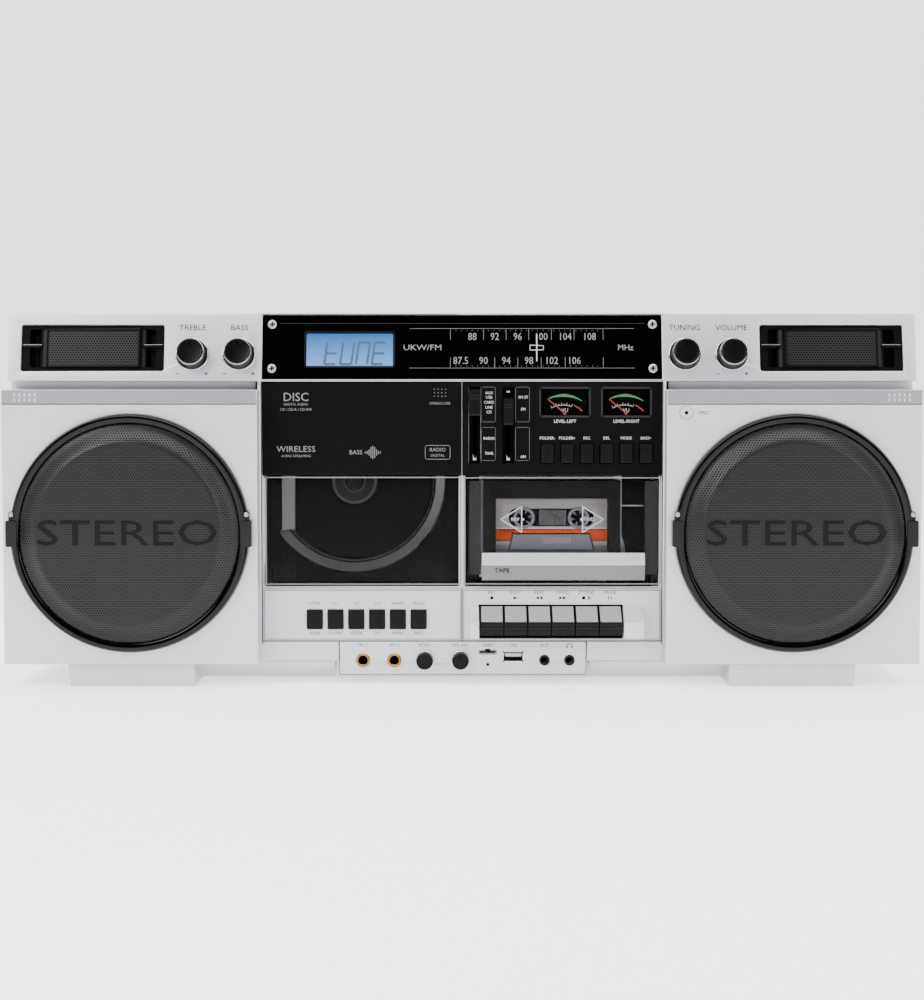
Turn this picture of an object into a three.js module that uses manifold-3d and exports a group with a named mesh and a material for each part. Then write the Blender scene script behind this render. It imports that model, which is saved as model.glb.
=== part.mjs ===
// Radio, disc and cassette player with two speaker boxes, built as separate pieces.
// Millimetres, +Z up, the front faces -Y. Depths below are counted backwards from the
// front of the speaker boxes; the whole object is centred on its own depth at the end.
import * as THREE from 'three';
import { mergeVertices } from 'three/addons/utils/BufferGeometryUtils.js';
import Module from 'manifold-3d';

const wasm = await Module();
wasm.setup();

// ---------------------------------------------------------------- driving dimensions
const overallWidth = 701;
const overallHeight = 287;
const bodyDepth = 168;
const wall = 3;
const gap = 0.3;
const seamDepth = 72;

const footHeight = 17.8;
const consoleRise = 52.4;
const neckHeight = 6.8;
const neckDepth = 33;
const consoleDepth = 20;
const consoleSlope = 10.6;

const centreHalf = 154.5;
const lipWidth = 1.5;
const panelDepth = 20;
const panelThick = 3.2;

const stripHeight = 15.5;
const lowerPanelHeight = 40.1;
const shelfHeight = 2.9;
const tapeDoorHeight = 84.3;

const grilleRadius = 91;
const grilleDrop = 4.3;
const grilleRing = 6;
const domeHeight = 14;

const discDiameter = 120;
const cassetteWidth = 100.4;
const cassetteHeight = 63.8;
const cassetteThick = 12;
const hubSpacing = 42.5;

const keyCount = 6;
const keyPitch = 18.3;
const keyTravelClear = 4.5;
const buttonCount = 6;
const cdButtonPitch = 16.1;
const cdButtonWidth = 11.7;
const functionPitch = 15.2;
const functionWidth = 9.6;
const buttonProud = 2.5;
const buttonTravel = 1.2;

const handleArm = 110;
const handleBar = 12;
const antennaRadius = 3.6;
const stepDepth = 18;
const stepDrop = 19;

// ---------------------------------------------------------------- derived layout
const halfWidth = overallWidth / 2;
const innerWallX = centreHalf + lipWidth;
const boxWidth = halfWidth - innerWallX;
const consoleZ = overallHeight - consoleRise;
const boxTop = consoleZ - neckHeight;
const boxHeight = boxTop - footHeight;
const consoleTilt = Math.atan2(consoleSlope, consoleRise);
const consoleLength = Math.hypot(consoleSlope, consoleRise);
const plateDepth = panelDepth + panelThick + gap;
const plateBack = plateDepth + wall;
const stripTop = footHeight + stripHeight;
const lowerBottom = stripTop + gap;
const lowerTop = lowerBottom + lowerPanelHeight;
const doorBottom = lowerTop + shelfHeight;
const tapeDoorTop = doorBottom + tapeDoorHeight;
const controlBottom = tapeDoorTop + 2 * gap;
const controlTop = consoleZ - 2 * gap;
const speakerX = innerWallX + boxWidth / 2;
const grilleZ = footHeight + boxHeight / 2 - grilleDrop;
const hingeDepth = panelDepth + 4.5;
const hingeZ = doorBottom + 2.8;

// ---------------------------------------------------------------- solids
/** Turns a closed geometry into a solid, dropping empty triangles and fixing its facing. */
function solid(geometry) {
  geometry.deleteAttribute('normal');
  geometry.deleteAttribute('uv');
  const merged = mergeVertices(geometry, 1e-4);
  const points = merged.attributes.position.array;
  const index = merged.index.array;
  const triangles = [];
  let volume = 0;
  const a = new THREE.Vector3();
  const b = new THREE.Vector3();
  const c = new THREE.Vector3();
  for (let i = 0; i < index.length; i += 3) {
    const [p, q, r] = [index[i], index[i + 1], index[i + 2]];
    if (p === q || q === r || r === p) continue;
    triangles.push([p, q, r]);
    a.fromArray(points, 3 * p);
    b.fromArray(points, 3 * q);
    c.fromArray(points, 3 * r);
    volume += a.dot(b.cross(c));
  }
  const facing = triangles.map(([p, q, r]) => (volume < 0 ? [p, r, q] : [p, q, r]));
  return new wasm.Manifold(new wasm.Mesh({
    numProp: 3,
    vertProperties: new Float32Array(points),
    triVerts: new Uint32Array(facing.flat()),
  }));
}

/** Box between two corners, each axis given as [low, high]. */
function box([x0, x1], [y0, y1], [z0, z1]) {
  const geometry = new THREE.BoxGeometry(x1 - x0, y1 - y0, z1 - z0);
  geometry.translate((x0 + x1) / 2, (y0 + y1) / 2, (z0 + z1) / 2);
  return solid(geometry);
}

/** Outline drawn in depth and height, drawn out along X. */
function prismX(outline, x0, x1) {
  const shape = new THREE.Shape(outline.map(([y, z]) => new THREE.Vector2(y, z)));
  const geometry = new THREE.ExtrudeGeometry(shape, { depth: x1 - x0, bevelEnabled: false });
  const basis = new THREE.Matrix4().makeBasis(
    new THREE.Vector3(0, 1, 0), new THREE.Vector3(0, 0, 1), new THREE.Vector3(1, 0, 0));
  geometry.applyMatrix4(basis);
  geometry.translate(x0, 0, 0);
  return solid(geometry);
}

/** Outline drawn in width and height, drawn out along Y. */
function prismY(outline, y0, y1) {
  const shape = new THREE.Shape(outline.map(([x, z]) => new THREE.Vector2(x, z)));
  const geometry = new THREE.ExtrudeGeometry(shape, { depth: y1 - y0, bevelEnabled: false });
  const basis = new THREE.Matrix4().makeBasis(
    new THREE.Vector3(1, 0, 0), new THREE.Vector3(0, 0, 1), new THREE.Vector3(0, -1, 0));
  geometry.applyMatrix4(basis);
  geometry.translate(0, y1, 0);
  return solid(geometry);
}

/** Turned solid about an axis along Y through (x, z); the profile is [radius, y] pairs. */
function turned(profile, x, z, segments = 48) {
  const points = profile.map(([radius, y]) => new THREE.Vector2(radius, y));
  const geometry = new THREE.LatheGeometry(points, segments);
  geometry.translate(x, 0, z);
  return solid(geometry);
}

/** Round bar along Y, X or Z between two stations. */
function rodY(radius, y0, y1, x, z, segments = 32) {
  return turned([[0, y0], [radius, y0], [radius, y1], [0, y1]], x, z, segments);
}

function rodX(radius, x0, x1, y, z, segments = 32) {
  const points = [[0, x0], [radius, x0], [radius, x1], [0, x1]];
  const geometry = new THREE.LatheGeometry(points.map(([r, h]) => new THREE.Vector2(r, h)), segments);
  geometry.rotateZ(-Math.PI / 2);
  geometry.translate(0, y, z);
  return solid(geometry);
}

function rodZ(radius, z0, z1, x, y, segments = 32) {
  const points = [[0, z0], [radius, z0], [radius, z1], [0, z1]];
  const geometry = new THREE.LatheGeometry(points.map(([r, h]) => new THREE.Vector2(r, h)), segments);
  geometry.rotateX(Math.PI / 2);
  geometry.scale(1, -1, 1);
  geometry.translate(x, y, 0);
  return solid(geometry);
}

/** Rectangle with rounded corners as a list of points. */
function roundedRect([x0, x1], [z0, z1], radius, steps = 5) {
  const corners = [[x1 - radius, z1 - radius, 0], [x0 + radius, z1 - radius, 1],
    [x0 + radius, z0 + radius, 2], [x1 - radius, z0 + radius, 3]];
  return corners.flatMap(([cx, cz, quarter]) => Array.from({ length: steps + 1 }, (_, i) => {
    const angle = (quarter + i / steps) * Math.PI / 2;
    return [cx + radius * Math.cos(angle), cz + radius * Math.sin(angle)];
  }));
}

/** Sum of several solids, and one solid less several others. */
function join(...solids) {
  return solids.reduce((sum, piece) => sum.add(piece));
}

function cut(body, ...tools) {
  return tools.reduce((left, tool) => left.subtract(tool), body);
}

/** Lays a piece drawn flat (depth inwards, height up the slope) on the console's face. */
function onConsole(piece) {
  const tilt = new THREE.Matrix4().makeRotationX(-consoleTilt);
  const place = new THREE.Matrix4().makeTranslation(0, consoleDepth, consoleZ);
  return piece.transform(place.multiply(tilt).toArray());
}

/** Mirror copy in the plane X = 0. */
function mirrored(piece) {
  return piece.transform(new THREE.Matrix4().makeScale(-1, 1, 1).toArray());
}

const object = new THREE.Group();
object.name = 'radio_cassette_player';

const colours = {
  silver: 0xe2e4e6, grey: 0xb4b4b8, black: 0x1c1c1e, gloss: 0x0a0a0c, metal: 0x8c8e92,
  mesh: 0x2a2a2c, clear: 0xb9c4c8, lcd: 0x8fb4d8, board: 0x1f5b34, cone: 0x161616,
  chrome: 0xd0d2d4, red: 0xc23a2a, white: 0xf2f2f2, cassette: 0x77787c,
};

/** Adds one finished piece to the object under its own name. */
function place(name, piece, colour, look = {}) {
  const data = piece.getMesh();
  const geometry = new THREE.BufferGeometry();
  geometry.setAttribute('position', new THREE.BufferAttribute(new Float32Array(data.vertProperties), 3));
  geometry.setIndex(new THREE.BufferAttribute(new Uint32Array(data.triVerts), 1));
  const material = new THREE.MeshStandardMaterial({ color: colour, roughness: 0.5, flatShading: true, ...look });
  const mesh = new THREE.Mesh(geometry, material);
  mesh.name = name;
  object.add(mesh);
}

// ---------------------------------------------------------------- control positions
const knobRadius = 13.2;
const knobHeight = 13;
const knobInset = 16.1;
const knobPitch = 36.2;
const shaftRadius = 3;
const shaftClear = 0.25;
const knobSlope = consoleLength / 2 - 5.9;
const knobX = {
  knob_treble: -(innerWallX + knobInset + knobPitch),
  knob_bass: -(innerWallX + knobInset),
  knob_tuning: innerWallX + knobInset,
  knob_volume: innerWallX + knobInset + knobPitch,
};
const smallKnobX = { knob_echo: -28.9, knob_mic_volume: -1.2 };
const jackZ = footHeight + 0.5;
const jackX = { mic_one: -76.8, mic_two: -52.5, aux: 64, phones: 83.4 };
const usb = { x: 39.7, z: footHeight + 3.5, width: 15.1, height: 7.3 };
const cardSlot = { x: 20, z: footHeight + 6.8, width: 12.4, height: 2 };

const meterHeight = 22.1;
const meterTop = controlTop - 4.6;
const meters = { needle_left: [60.2, 98.6], needle_right: [107.8, 145.7] };
const needleLength = 17;
const needleAngle = 50 * Math.PI / 180;

const slotTop = controlTop - 4.1;
const slotBottom = controlBottom + 9.7;
const sliders = {
  function_switch: { x: [5.1, 14.5], top: slotTop - 1.9 },
  band_switch: { x: [31.3, 40.2], top: slotTop - 8.9 },
};
const sliderHeight = 20;

const functionX = 61.1;
const functionZ = [controlBottom + 10.1, controlBottom + 24.9];
const cdButtonX = -120;
const cdButtonZ = [lowerBottom + 9.3, lowerBottom + 23.9];
const keyX = 13.9;
const keyWell = { x: [keyX - 1.2, keyX + keyCount * keyPitch + 1.2], z: [lowerBottom + 1.7, lowerTop - 11.9] };

const discX = -84.2;
const discZ = (doorBottom + controlTop) / 2 + 1.2;
const wellRadius = discDiameter / 2 + 1.4;
const wellDepth = 38;
const wellFloor = 46;
const tapeX = 69.7;
const hubZ = doorBottom + 51.6;
const cassetteFront = 35;
const cassetteBottom = hubZ - 34.3;
const chassisDepth = cassetteFront + cassetteThick + 3;

const buttons = Array.from({ length: buttonCount }, (_, i) => i);
const keys = Array.from({ length: keyCount }, (_, i) => i);
const functionSpan = i => [functionX + i * functionPitch, functionX + i * functionPitch + functionWidth];
const cdSpan = i => [cdButtonX + i * cdButtonPitch, cdButtonX + i * cdButtonPitch + cdButtonWidth];
const grow = ([low, high], by) => [low - by, high + by];

// ---------------------------------------------------------------- cabinet shells
const rear = bodyDepth;
const stepFront = rear - stepDepth;
const stepFloor = overallHeight - stepDrop;
const topFront = consoleDepth + consoleSlope;

const boxOutline = [[0, footHeight], [0, boxTop], [neckDepth, boxTop], [neckDepth, consoleZ], [consoleDepth, consoleZ],
  [topFront, overallHeight], [stepFront, overallHeight], [stepFront, stepFloor], [rear, stepFloor], [rear, footHeight]];
const centreOutline = [[plateDepth, footHeight], [plateDepth, consoleZ], [consoleDepth, consoleZ],
  [topFront, overallHeight], [stepFront, overallHeight], [stepFront, stepFloor], [rear, stepFloor], [rear, footHeight]];
const hollowTop = [[neckDepth + wall, boxTop - wall], [neckDepth + wall, consoleZ + wall],
  [consoleDepth + wall + 0.8, consoleZ + wall], [topFront + wall - 0.6, overallHeight - wall],
  [stepFront - wall, overallHeight - wall], [stepFront - wall, stepFloor - wall], [rear - wall, stepFloor - wall],
  [rear - wall, footHeight + wall]];
const boxHollow = [[wall, footHeight + wall], [wall, boxTop - wall], ...hollowTop];
const centreHollow = [[plateBack, footHeight + wall], [plateBack, consoleZ + wall], ...hollowTop.slice(2)];

const shell = cut(
  join(prismX(boxOutline, innerWallX, halfWidth), prismX(boxOutline, -halfWidth, -innerWallX),
    prismX(centreOutline, -innerWallX - 1, innerWallX + 1)),
  prismX(boxHollow, innerWallX + wall, halfWidth - wall),
  prismX(boxHollow, -halfWidth + wall, -innerWallX - wall),
  prismX(centreHollow, -innerWallX - wall - 1, innerWallX + wall + 1));

const far = 400;
const frontHalf = box([-far, far], [-20, seamDepth], [-20, overallHeight + 20]);
const backHalf = box([-far, far], [seamDepth + gap, rear + 20], [-20, overallHeight + 20]);

const tweeterHalf = 55.3;
const tweeterMeshHalf = 35;
const tweeterCorner = 1.6;
const tweeterX = halfWidth - 65.2;
const tweeterSpan = [consoleLength / 2 - 18.4, consoleLength / 2 + 18.4].map(v => v - 0.5);
const tweeterHole = prismY(roundedRect([tweeterX - tweeterHalf, tweeterX + tweeterHalf], tweeterSpan, tweeterCorner), -2, 8);

const dialHalf = centreHalf - 0.5;
const dialSpan = [1.9, consoleLength - 1.5];
const dialThick = 6.5;
const lcdX = [-120.2, -53.2];
const lcdSpan = [12, 37.6];
const pointerX = 57.7;
const pointerSpan = [15.6, 36.7];
const pointerTravel = [-66.7, 50.9];
const pointerWindow = [pointerX + pointerTravel[0] - 5, pointerX + pointerTravel[1] + 5];
const pointerSlot = (pointerSpan[0] + pointerSpan[1]) / 2;

const podHalf = 98;
const podBottom = 4.5;
const jackPanelX = [-95.3, 96.4];
const jackPanelBottom = 6.8;
const podFront = plateDepth;
const podBack = 52;

const lipSpan = 2 * lipWidth;
const lip = side => box([side * centreHalf + (side < 0 ? -lipSpan : 0), side * centreHalf + (side < 0 ? 0 : lipSpan)],
  [panelDepth - 1, plateBack], [footHeight, consoleZ]);
const strip = box([-innerWallX - 1, innerWallX + 1], [panelDepth, plateBack], [footHeight, stripTop]);
const pod = box([-podHalf, podHalf], [podFront, podBack], [podBottom, footHeight + wall]);
const podHollow = box([-podHalf + wall, podHalf - wall], [plateBack, podBack - wall], [podBottom + wall, footHeight + 8]);

const bayBottom = doorBottom - 1;
const cdBay = box([-centreHalf + 2, -2.5], [panelDepth - 2, plateBack + 1], [bayBottom, consoleZ - 3]);
const tapeBay = box([2.5, centreHalf - 2], [panelDepth - 2, plateBack + 1], [bayBottom, tapeDoorTop + 1.4]);
const keyBay = box(keyWell.x, [panelDepth - 2, plateBack + 1], keyWell.z);
const holeY = (radius, x, z) => rodY(radius, panelDepth - 2, plateBack + 1, x, z);
const buttonHoles = [
  ...buttons.map(i => box(grow(functionSpan(i), gap), [panelDepth - 2, plateBack + 1], grow(functionZ, gap))),
  ...buttons.map(i => box(grow(cdSpan(i), gap), [panelDepth - 2, plateBack + 1], grow(cdButtonZ, gap))),
];
const sliderStemHoles = Object.values(sliders).map(({ x: [x0, x1] }) => box(
  [(x0 + x1) / 2 - 1.4, (x0 + x1) / 2 + 1.4], [plateDepth - 1, plateBack + 1], [slotBottom + 4, slotTop - 4]));
const socketHoles = [
  holeY(3.3, jackX.mic_one, jackZ), holeY(3.3, jackX.mic_two, jackZ),
  holeY(2.4, jackX.aux, jackZ), holeY(2.4, jackX.phones, jackZ),
  ...Object.values(smallKnobX).map(x => holeY(shaftRadius + shaftClear, x, jackZ)),
  box([usb.x - usb.width / 2, usb.x + usb.width / 2], [panelDepth - 2, plateBack + 1],
    [usb.z - usb.height / 2, usb.z + usb.height / 2]),
  box([cardSlot.x - cardSlot.width / 2, cardSlot.x + cardSlot.width / 2], [panelDepth - 2, plateBack + 1],
    [cardSlot.z - cardSlot.height / 2, cardSlot.z + cardSlot.height / 2]),
];
const needlePins = Object.entries(meters).map(([name, [x0, x1]]) => [name, (x0 + x1) / 2, meterTop - meterHeight + 2.4]);

let front = join(shell.intersect(frontHalf), lip(-1), lip(1), strip, pod);
front = cut(front, podHollow, cdBay, tapeBay, keyBay, ...buttonHoles, ...sliderStemHoles, ...socketHoles,
  box(grow(jackPanelX, gap), [panelDepth - 2, plateDepth], [jackPanelBottom - gap, stripTop + 1]),
  rodY(0.88 * grilleRadius, -2, wall + 2, speakerX, grilleZ, 64),
  rodY(0.88 * grilleRadius, -2, wall + 2, -speakerX, grilleZ, 64),
  onConsole(tweeterHole), mirrored(onConsole(tweeterHole)),
  onConsole(box([-dialHalf - gap, dialHalf + gap], [-3, dialThick + gap], grow(dialSpan, gap))),
  ...Object.values(knobX).map(x => onConsole(rodY(shaftRadius + shaftClear, -2, 12, x, knobSlope))),
  ...needlePins.map(([, x, z]) => holeY(1.5, x, z)));
place('front_panel', front, colours.silver);

const plinthHalf = 206;
const footHalfWidth = 49;
const footX = plinthHalf + footHalfWidth - 0.5;
const underside = footHeight - gap;
const plinth = prismX([[panelDepth + 0.6, underside], [46, 2], [rear - 10, 2], [rear - 3, underside],
  [rear - 3, footHeight + 1], [seamDepth + 6, footHeight + 1], [seamDepth + 6, underside]], -plinthHalf, plinthHalf);
const plinthHollow = prismX([[34, underside - wall], [50, 2 + wall], [rear - 12, 2 + wall],
  [rear - 6, footHeight + wall + 1], [seamDepth + 6, footHeight + wall + 1], [seamDepth + 6, underside - wall]],
-plinthHalf + wall, plinthHalf - wall);
const footOutline = [[footX - footHalfWidth, footHeight - gap], [footX - footHalfWidth, 0],
  [footX + footHalfWidth - 2.4, 0], [footX + footHalfWidth, footHeight - gap]];
const foot = join(prismY(footOutline, 6, rear - 8),
  box([footX - footHalfWidth + 4, footX + footHalfWidth - 4], [seamDepth + 4, rear - 8], [footHeight - 2, footHeight + 1]));
const footHollow = box([footX - footHalfWidth + wall, footX + footHalfWidth - wall - 2.4],
  [seamDepth + 8, rear - 12], [wall, footHeight + wall + 1]);

const bayX = 90;
const bayZ = [footHeight + 16, footHeight + 76];
const bayDepth = 46;
const boxWall = 2;
const batteryBay = box(grow([-bayX, bayX], boxWall), [rear - bayDepth - boxWall, rear - 1], grow(bayZ, boxWall));
const bayHollow = box([-bayX, bayX], [rear - bayDepth, rear + 2], bayZ);
const doorSeat = box([-bayX - 4, bayX + 4], [rear - 2.2, rear + 2], grow(bayZ, 4));
const inlet = { x: [244, 268], z: [footHeight + 22, footHeight + 38] };
const inletDepth = 16;
const inletHollow = box(inlet.x, [rear - inletDepth, rear + 2], inlet.z);
const inletBox = box(grow(inlet.x, boxWall), [rear - inletDepth - boxWall, rear - 1], grow(inlet.z, boxWall));

const pivotX = 228;
const pivotZ = overallHeight - 46;
const pivotDepth = rear + 8;
const lug = join(box([pivotX - 6, pivotX + 6], [rear - 1, pivotDepth], [pivotZ - handleBar / 2, pivotZ + handleBar / 2]),
  rodX(handleBar / 2, pivotX - 6, pivotX + 6, pivotDepth, pivotZ), rodX(3.8, pivotX, pivotX + 19, pivotDepth, pivotZ));

const antennaX = halfWidth - 34;
const antennaY = rear - stepDepth / 2;
const antennaPad = rodZ(7, stepFloor - 1, stepFloor + 1.2, antennaX, antennaY);

let back = join(shell.intersect(backHalf), plinth, foot, mirrored(foot), batteryBay, inletBox, lug, mirrored(lug), antennaPad);
back = cut(back, plinthHollow, footHollow, mirrored(footHollow), bayHollow, doorSeat, inletHollow,
  box([-podHalf - gap, podHalf + gap], [-5, podBack + gap], [-5, underside + 2]),
  rodZ(2.6, stepFloor - 10, stepFloor + 3, antennaX, antennaY));
place('rear_cabinet', back, colours.silver);

// ---------------------------------------------------------------- fixed panels
const dialPanel = cut(
  box([-dialHalf, dialHalf], [0, dialThick], dialSpan),
  box(grow(lcdX, gap), [-1, dialThick + 1], grow(lcdSpan, gap)),
  box(pointerWindow, [-1, 3.4], grow(pointerSpan, 2)),
  box(pointerWindow, [-1, dialThick + 1], [pointerSlot - 1.2, pointerSlot + 1.2]));
place('dial_panel', onConsole(dialPanel), colours.gloss, { roughness: 0.08 });
place('lcd_display', onConsole(box(lcdX, [1, dialThick], lcdSpan)), colours.lcd, { roughness: 0.15 });

const sliderSlots = Object.values(sliders).map(({ x }) => box(x, [panelDepth - 2, plateDepth + 0.1], [slotBottom, slotTop]));
const meterWindows = Object.values(meters).map(x => box(x, [panelDepth - 2, plateDepth], [meterTop - meterHeight, meterTop]));
place('control_panel', cut(
  box([gap, centreHalf - gap], [panelDepth, panelDepth + panelThick], [controlBottom, controlTop]),
  ...sliderSlots, ...meterWindows, ...buttonHoles), colours.black);
place('cd_button_panel', cut(
  box([-centreHalf + gap, -gap], [panelDepth, panelDepth + panelThick], [lowerBottom, lowerTop]),
  ...buttonHoles), colours.silver);
const capOutline = [[panelDepth + 1, lowerBottom + 26.9], [4.2, lowerBottom + 15.6], [5, lowerBottom + 14.2],
  [6.5, lowerBottom + 3], [panelDepth + 1, lowerBottom + 2]];
place('tape_key_panel', join(
  cut(box([gap, centreHalf - gap], [panelDepth, panelDepth + panelThick], [lowerBottom, lowerTop]), keyBay),
  prismX(capOutline, keyWell.x[0] - 7, keyWell.x[0] + 0.5),
  prismX(capOutline, keyWell.x[1] - 0.5, keyWell.x[1] + 15.2)), colours.silver);
place('jack_panel', cut(
  box(jackPanelX, [panelDepth, panelDepth + panelThick], [jackPanelBottom, stripTop - gap]), ...socketHoles), colours.silver);

// ---------------------------------------------------------------- speakers
const bevelRadius = 0.753 * grilleRadius;
const meshRadius = 0.945 * grilleRadius;
const grille = turned([[grilleRadius, -gap], [grilleRadius, -grilleRing + 2], [grilleRadius - 2, -grilleRing],
  [meshRadius, -grilleRing], [bevelRadius, -domeHeight + 1.2], [bevelRadius * 0.5, -domeHeight + 0.3], [0, -domeHeight],
  [0, -domeHeight + 1.2], [bevelRadius * 0.5, -domeHeight + 1.5], [bevelRadius - 0.6, -domeHeight + 2.4],
  [meshRadius - 1, -gap], [grilleRadius, -gap]], speakerX, grilleZ, 72);
place('grille_right', grille, colours.mesh, { metalness: 0.6 });
place('grille_left', mirrored(grille), colours.mesh, { metalness: 0.6 });

const basketRadius = 0.93 * grilleRadius;
const coneRadius = 0.78 * grilleRadius;
const woofer = turned([[0, wall + 28], [14, wall + 26], [18, wall + 30], [coneRadius, wall + 8], [coneRadius + 3, wall + 3],
  [basketRadius, wall + gap], [basketRadius, wall + 4], [coneRadius + 4, wall + 7], [36, wall + 42], [42, wall + 42],
  [42, wall + 66], [0, wall + 66]], speakerX, grilleZ, 60);
place('woofer_right', woofer, colours.cone);
place('woofer_left', mirrored(woofer), colours.cone);

const tweeterInset = 2;
const tweeterFace = grow([tweeterX - tweeterHalf, tweeterX + tweeterHalf], -gap - 0.2);
const tweeter = join(
  cut(prismY(roundedRect(tweeterFace, grow(tweeterSpan, -gap - 0.2), tweeterCorner), tweeterInset, 14),
    prismY(roundedRect(grow(tweeterFace, -6), grow(tweeterSpan, -3.4), 2), 0, 9)),
  prismY(roundedRect([tweeterX - tweeterMeshHalf, tweeterX + tweeterMeshHalf], grow(tweeterSpan, -4.6), 1),
    tweeterInset, 13),
  rodY(16, 13, 30, tweeterX, (tweeterSpan[0] + tweeterSpan[1]) / 2));
place('tweeter_right', onConsole(tweeter), colours.black);
place('tweeter_left', mirrored(onConsole(tweeter)), colours.black);

// ---------------------------------------------------------------- disc bay
const wellPlate = box([-centreHalf + 2.5, -3], [wellDepth, wellDepth + 3], [doorBottom + 1, controlTop - 3]);
const well = cut(
  join(wellPlate, rodY(wellRadius + 3, wellDepth, wellFloor + 2.5, discX, discZ, 72)
    .intersect(box([-centreHalf + 2.5, -3], [0, 99], [0, far]))),
  turned([[0, wellDepth - 1], [wellRadius + 2.5, wellDepth - 1], [wellRadius, wellDepth + 3], [wellRadius, wellFloor], [0, wellFloor]],
    discX, discZ, 72),
  rodY(20, 30, 60, discX, discZ, 48));
place('cd_well', well, colours.grey);
place('cd_turntable', turned([[0, wellDepth - 1.5], [6, wellDepth - 1.5], [7.4, wellDepth + 1], [7.4, wellDepth + 3.6],
  [18, wellDepth + 4], [18, wellDepth + 6], [3, wellDepth + 6.6], [3, wellFloor + 12], [0, wellFloor + 12]],
discX, discZ), colours.black);

const cdDoorX = [-centreHalf + gap, -0.5];
const cdSplit = controlBottom - 0.4;
const hingeHole = x => rodX(1.4, x[0] - 1, x[1] + 1, hingeDepth, hingeZ, 20);
const cdDoor = join(
  prismX([[panelDepth, cdSplit + 4], [panelDepth + 1.2, cdSplit + gap], [panelDepth + panelThick, cdSplit + gap],
    [panelDepth + panelThick, controlTop], [panelDepth + 0.8, controlTop], [panelDepth, controlTop - 1]], ...cdDoorX),
  box([-centreHalf + 8, -centreHalf + 11], [panelDepth + panelThick - 0.5, panelDepth + 9], [cdSplit + 8, controlTop - 9]),
  box([-11, -8], [panelDepth + panelThick - 0.5, panelDepth + 9], [cdSplit + 8, controlTop - 9]));
place('cd_door', cdDoor, colours.black);
// The windows' lower rear edge is chamfered, so that it clears the sill as a door tips open.
const windowThick = 2.6;
const windowChamfer = 1.7;
const doorWindow = ([x0, x1], top) => prismX([[panelDepth, doorBottom + gap],
  [panelDepth + windowThick - windowChamfer, doorBottom + gap],
  [panelDepth + windowThick, doorBottom + gap + windowChamfer],
  [panelDepth + windowThick, top], [panelDepth, top]], x0, x1);
const barrel = ([x0, x1]) => join(rodX(2.3, x0, x1, hingeDepth, hingeZ, 24),
  box([x0, x1], [panelDepth + 2, hingeDepth], [hingeZ - 2.3, hingeZ + 2.3]));
const cdBarrels = [[-140, -118], [-36, -14]];
place('cd_door_window', cut(
  join(doorWindow(cdDoorX, cdSplit), ...cdBarrels.map(barrel)),
  ...cdBarrels.map(hingeHole)), colours.clear, { transparent: true, opacity: 0.4, roughness: 0.05 });

// ---------------------------------------------------------------- tape bay
const tapeDoorX = [0.8, centreHalf - gap];
const tapeBarrels = [[8, 16], [130, 146]];
place('tape_door_window', cut(
  join(doorWindow(tapeDoorX, tapeDoorTop), ...tapeBarrels.map(barrel)),
  ...tapeBarrels.map(hingeHole)), colours.clear, { transparent: true, opacity: 0.4, roughness: 0.05 });

const cassetteX = [tapeX - cassetteWidth / 2, tapeX + cassetteWidth / 2];
const cassetteZ = [cassetteBottom, cassetteBottom + cassetteHeight];
const holderX = grow(cassetteX, 3);
const holderTop = cassetteZ[1];
const holderFront = panelDepth + 2.6 + gap;
const holder = cut(
  box(holderX, [holderFront, cassetteFront + 9], [cassetteBottom - 3.2, holderTop]),
  box(grow(cassetteX, gap), [cassetteFront - gap, 99], [cassetteBottom - gap, holderTop + 2]),
  box([tapeX - 43.5, tapeX + 43.5], [0, cassetteFront + 1], [hubZ - 29, hubZ + 15.5]),
  box([holderX[0] - 1, holderX[1] + 1], [0, hingeDepth + 2.6], [0, cassetteBottom - 1]));
place('cassette_holder', holder, colours.black);
const hubs = [tapeX - hubSpacing / 2, tapeX + hubSpacing / 2];
place('cassette_shell', cut(
  box(cassetteX, [cassetteFront, cassetteFront + cassetteThick], cassetteZ),
  ...hubs.map(x => rodY(5.6, 0, 99, x, hubZ))), colours.cassette);

const chassis = cut(
  join(box([tapeX - 56, tapeX + 56], [chassisDepth, chassisDepth + 3], [doorBottom + 4, tapeDoorTop + 8]),
    box([tapeX - 7, tapeX + 7], [chassisDepth - 9, chassisDepth + 1], [cassetteBottom - 12, cassetteBottom - 4.6]),
    rodY(6, chassisDepth - 9, chassisDepth + 1, tapeX + 20, cassetteBottom - 9.4, 24),
    box([tapeX - 50, tapeX - 18], [chassisDepth + 2, chassisDepth + 26], [cassetteBottom - 10, cassetteBottom + 12])),
  ...hubs.map(x => rodY(3.4, 0, 99, x, hubZ)),
  rodY(1.8, 0, 99, tapeX + 34, cassetteBottom + 6));
place('tape_deck_chassis', chassis, colours.metal, { metalness: 0.8 });
const spindle = x => turned([[0, chassisDepth - 9], [2, chassisDepth - 9], [3.1, chassisDepth - 7], [3.1, chassisDepth + 6],
  [10, chassisDepth + 6], [10, chassisDepth + 9], [0, chassisDepth + 9]], x, hubZ, 24);
place('supply_spindle', spindle(hubs[0]), colours.black);
place('takeup_spindle', spindle(hubs[1]), colours.black);
place('capstan_flywheel', turned([[0, chassisDepth - 2], [1.5, chassisDepth - 2], [1.5, chassisDepth + 11],
  [26, chassisDepth + 11], [26, chassisDepth + 18], [0, chassisDepth + 18]], tapeX + 34, cassetteBottom + 6),
colours.metal, { metalness: 0.8 });

// ---------------------------------------------------------------- inside
const boardDepth = 104;
place('main_circuit_board', join(
  box([-140, 140], [boardDepth, boardDepth + 1.6], [bayZ[1] + 10, stepFloor - 30]),
  rodY(9, boardDepth - 22, boardDepth + 1, -110, bayZ[1] + 34, 24),
  box([-60, -30], [boardDepth - 9, boardDepth + 1], [bayZ[1] + 30, bayZ[1] + 60]),
  box([60, 120], [boardDepth + 1, boardDepth + 28], [bayZ[1] + 24, bayZ[1] + 66])), colours.board);

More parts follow.
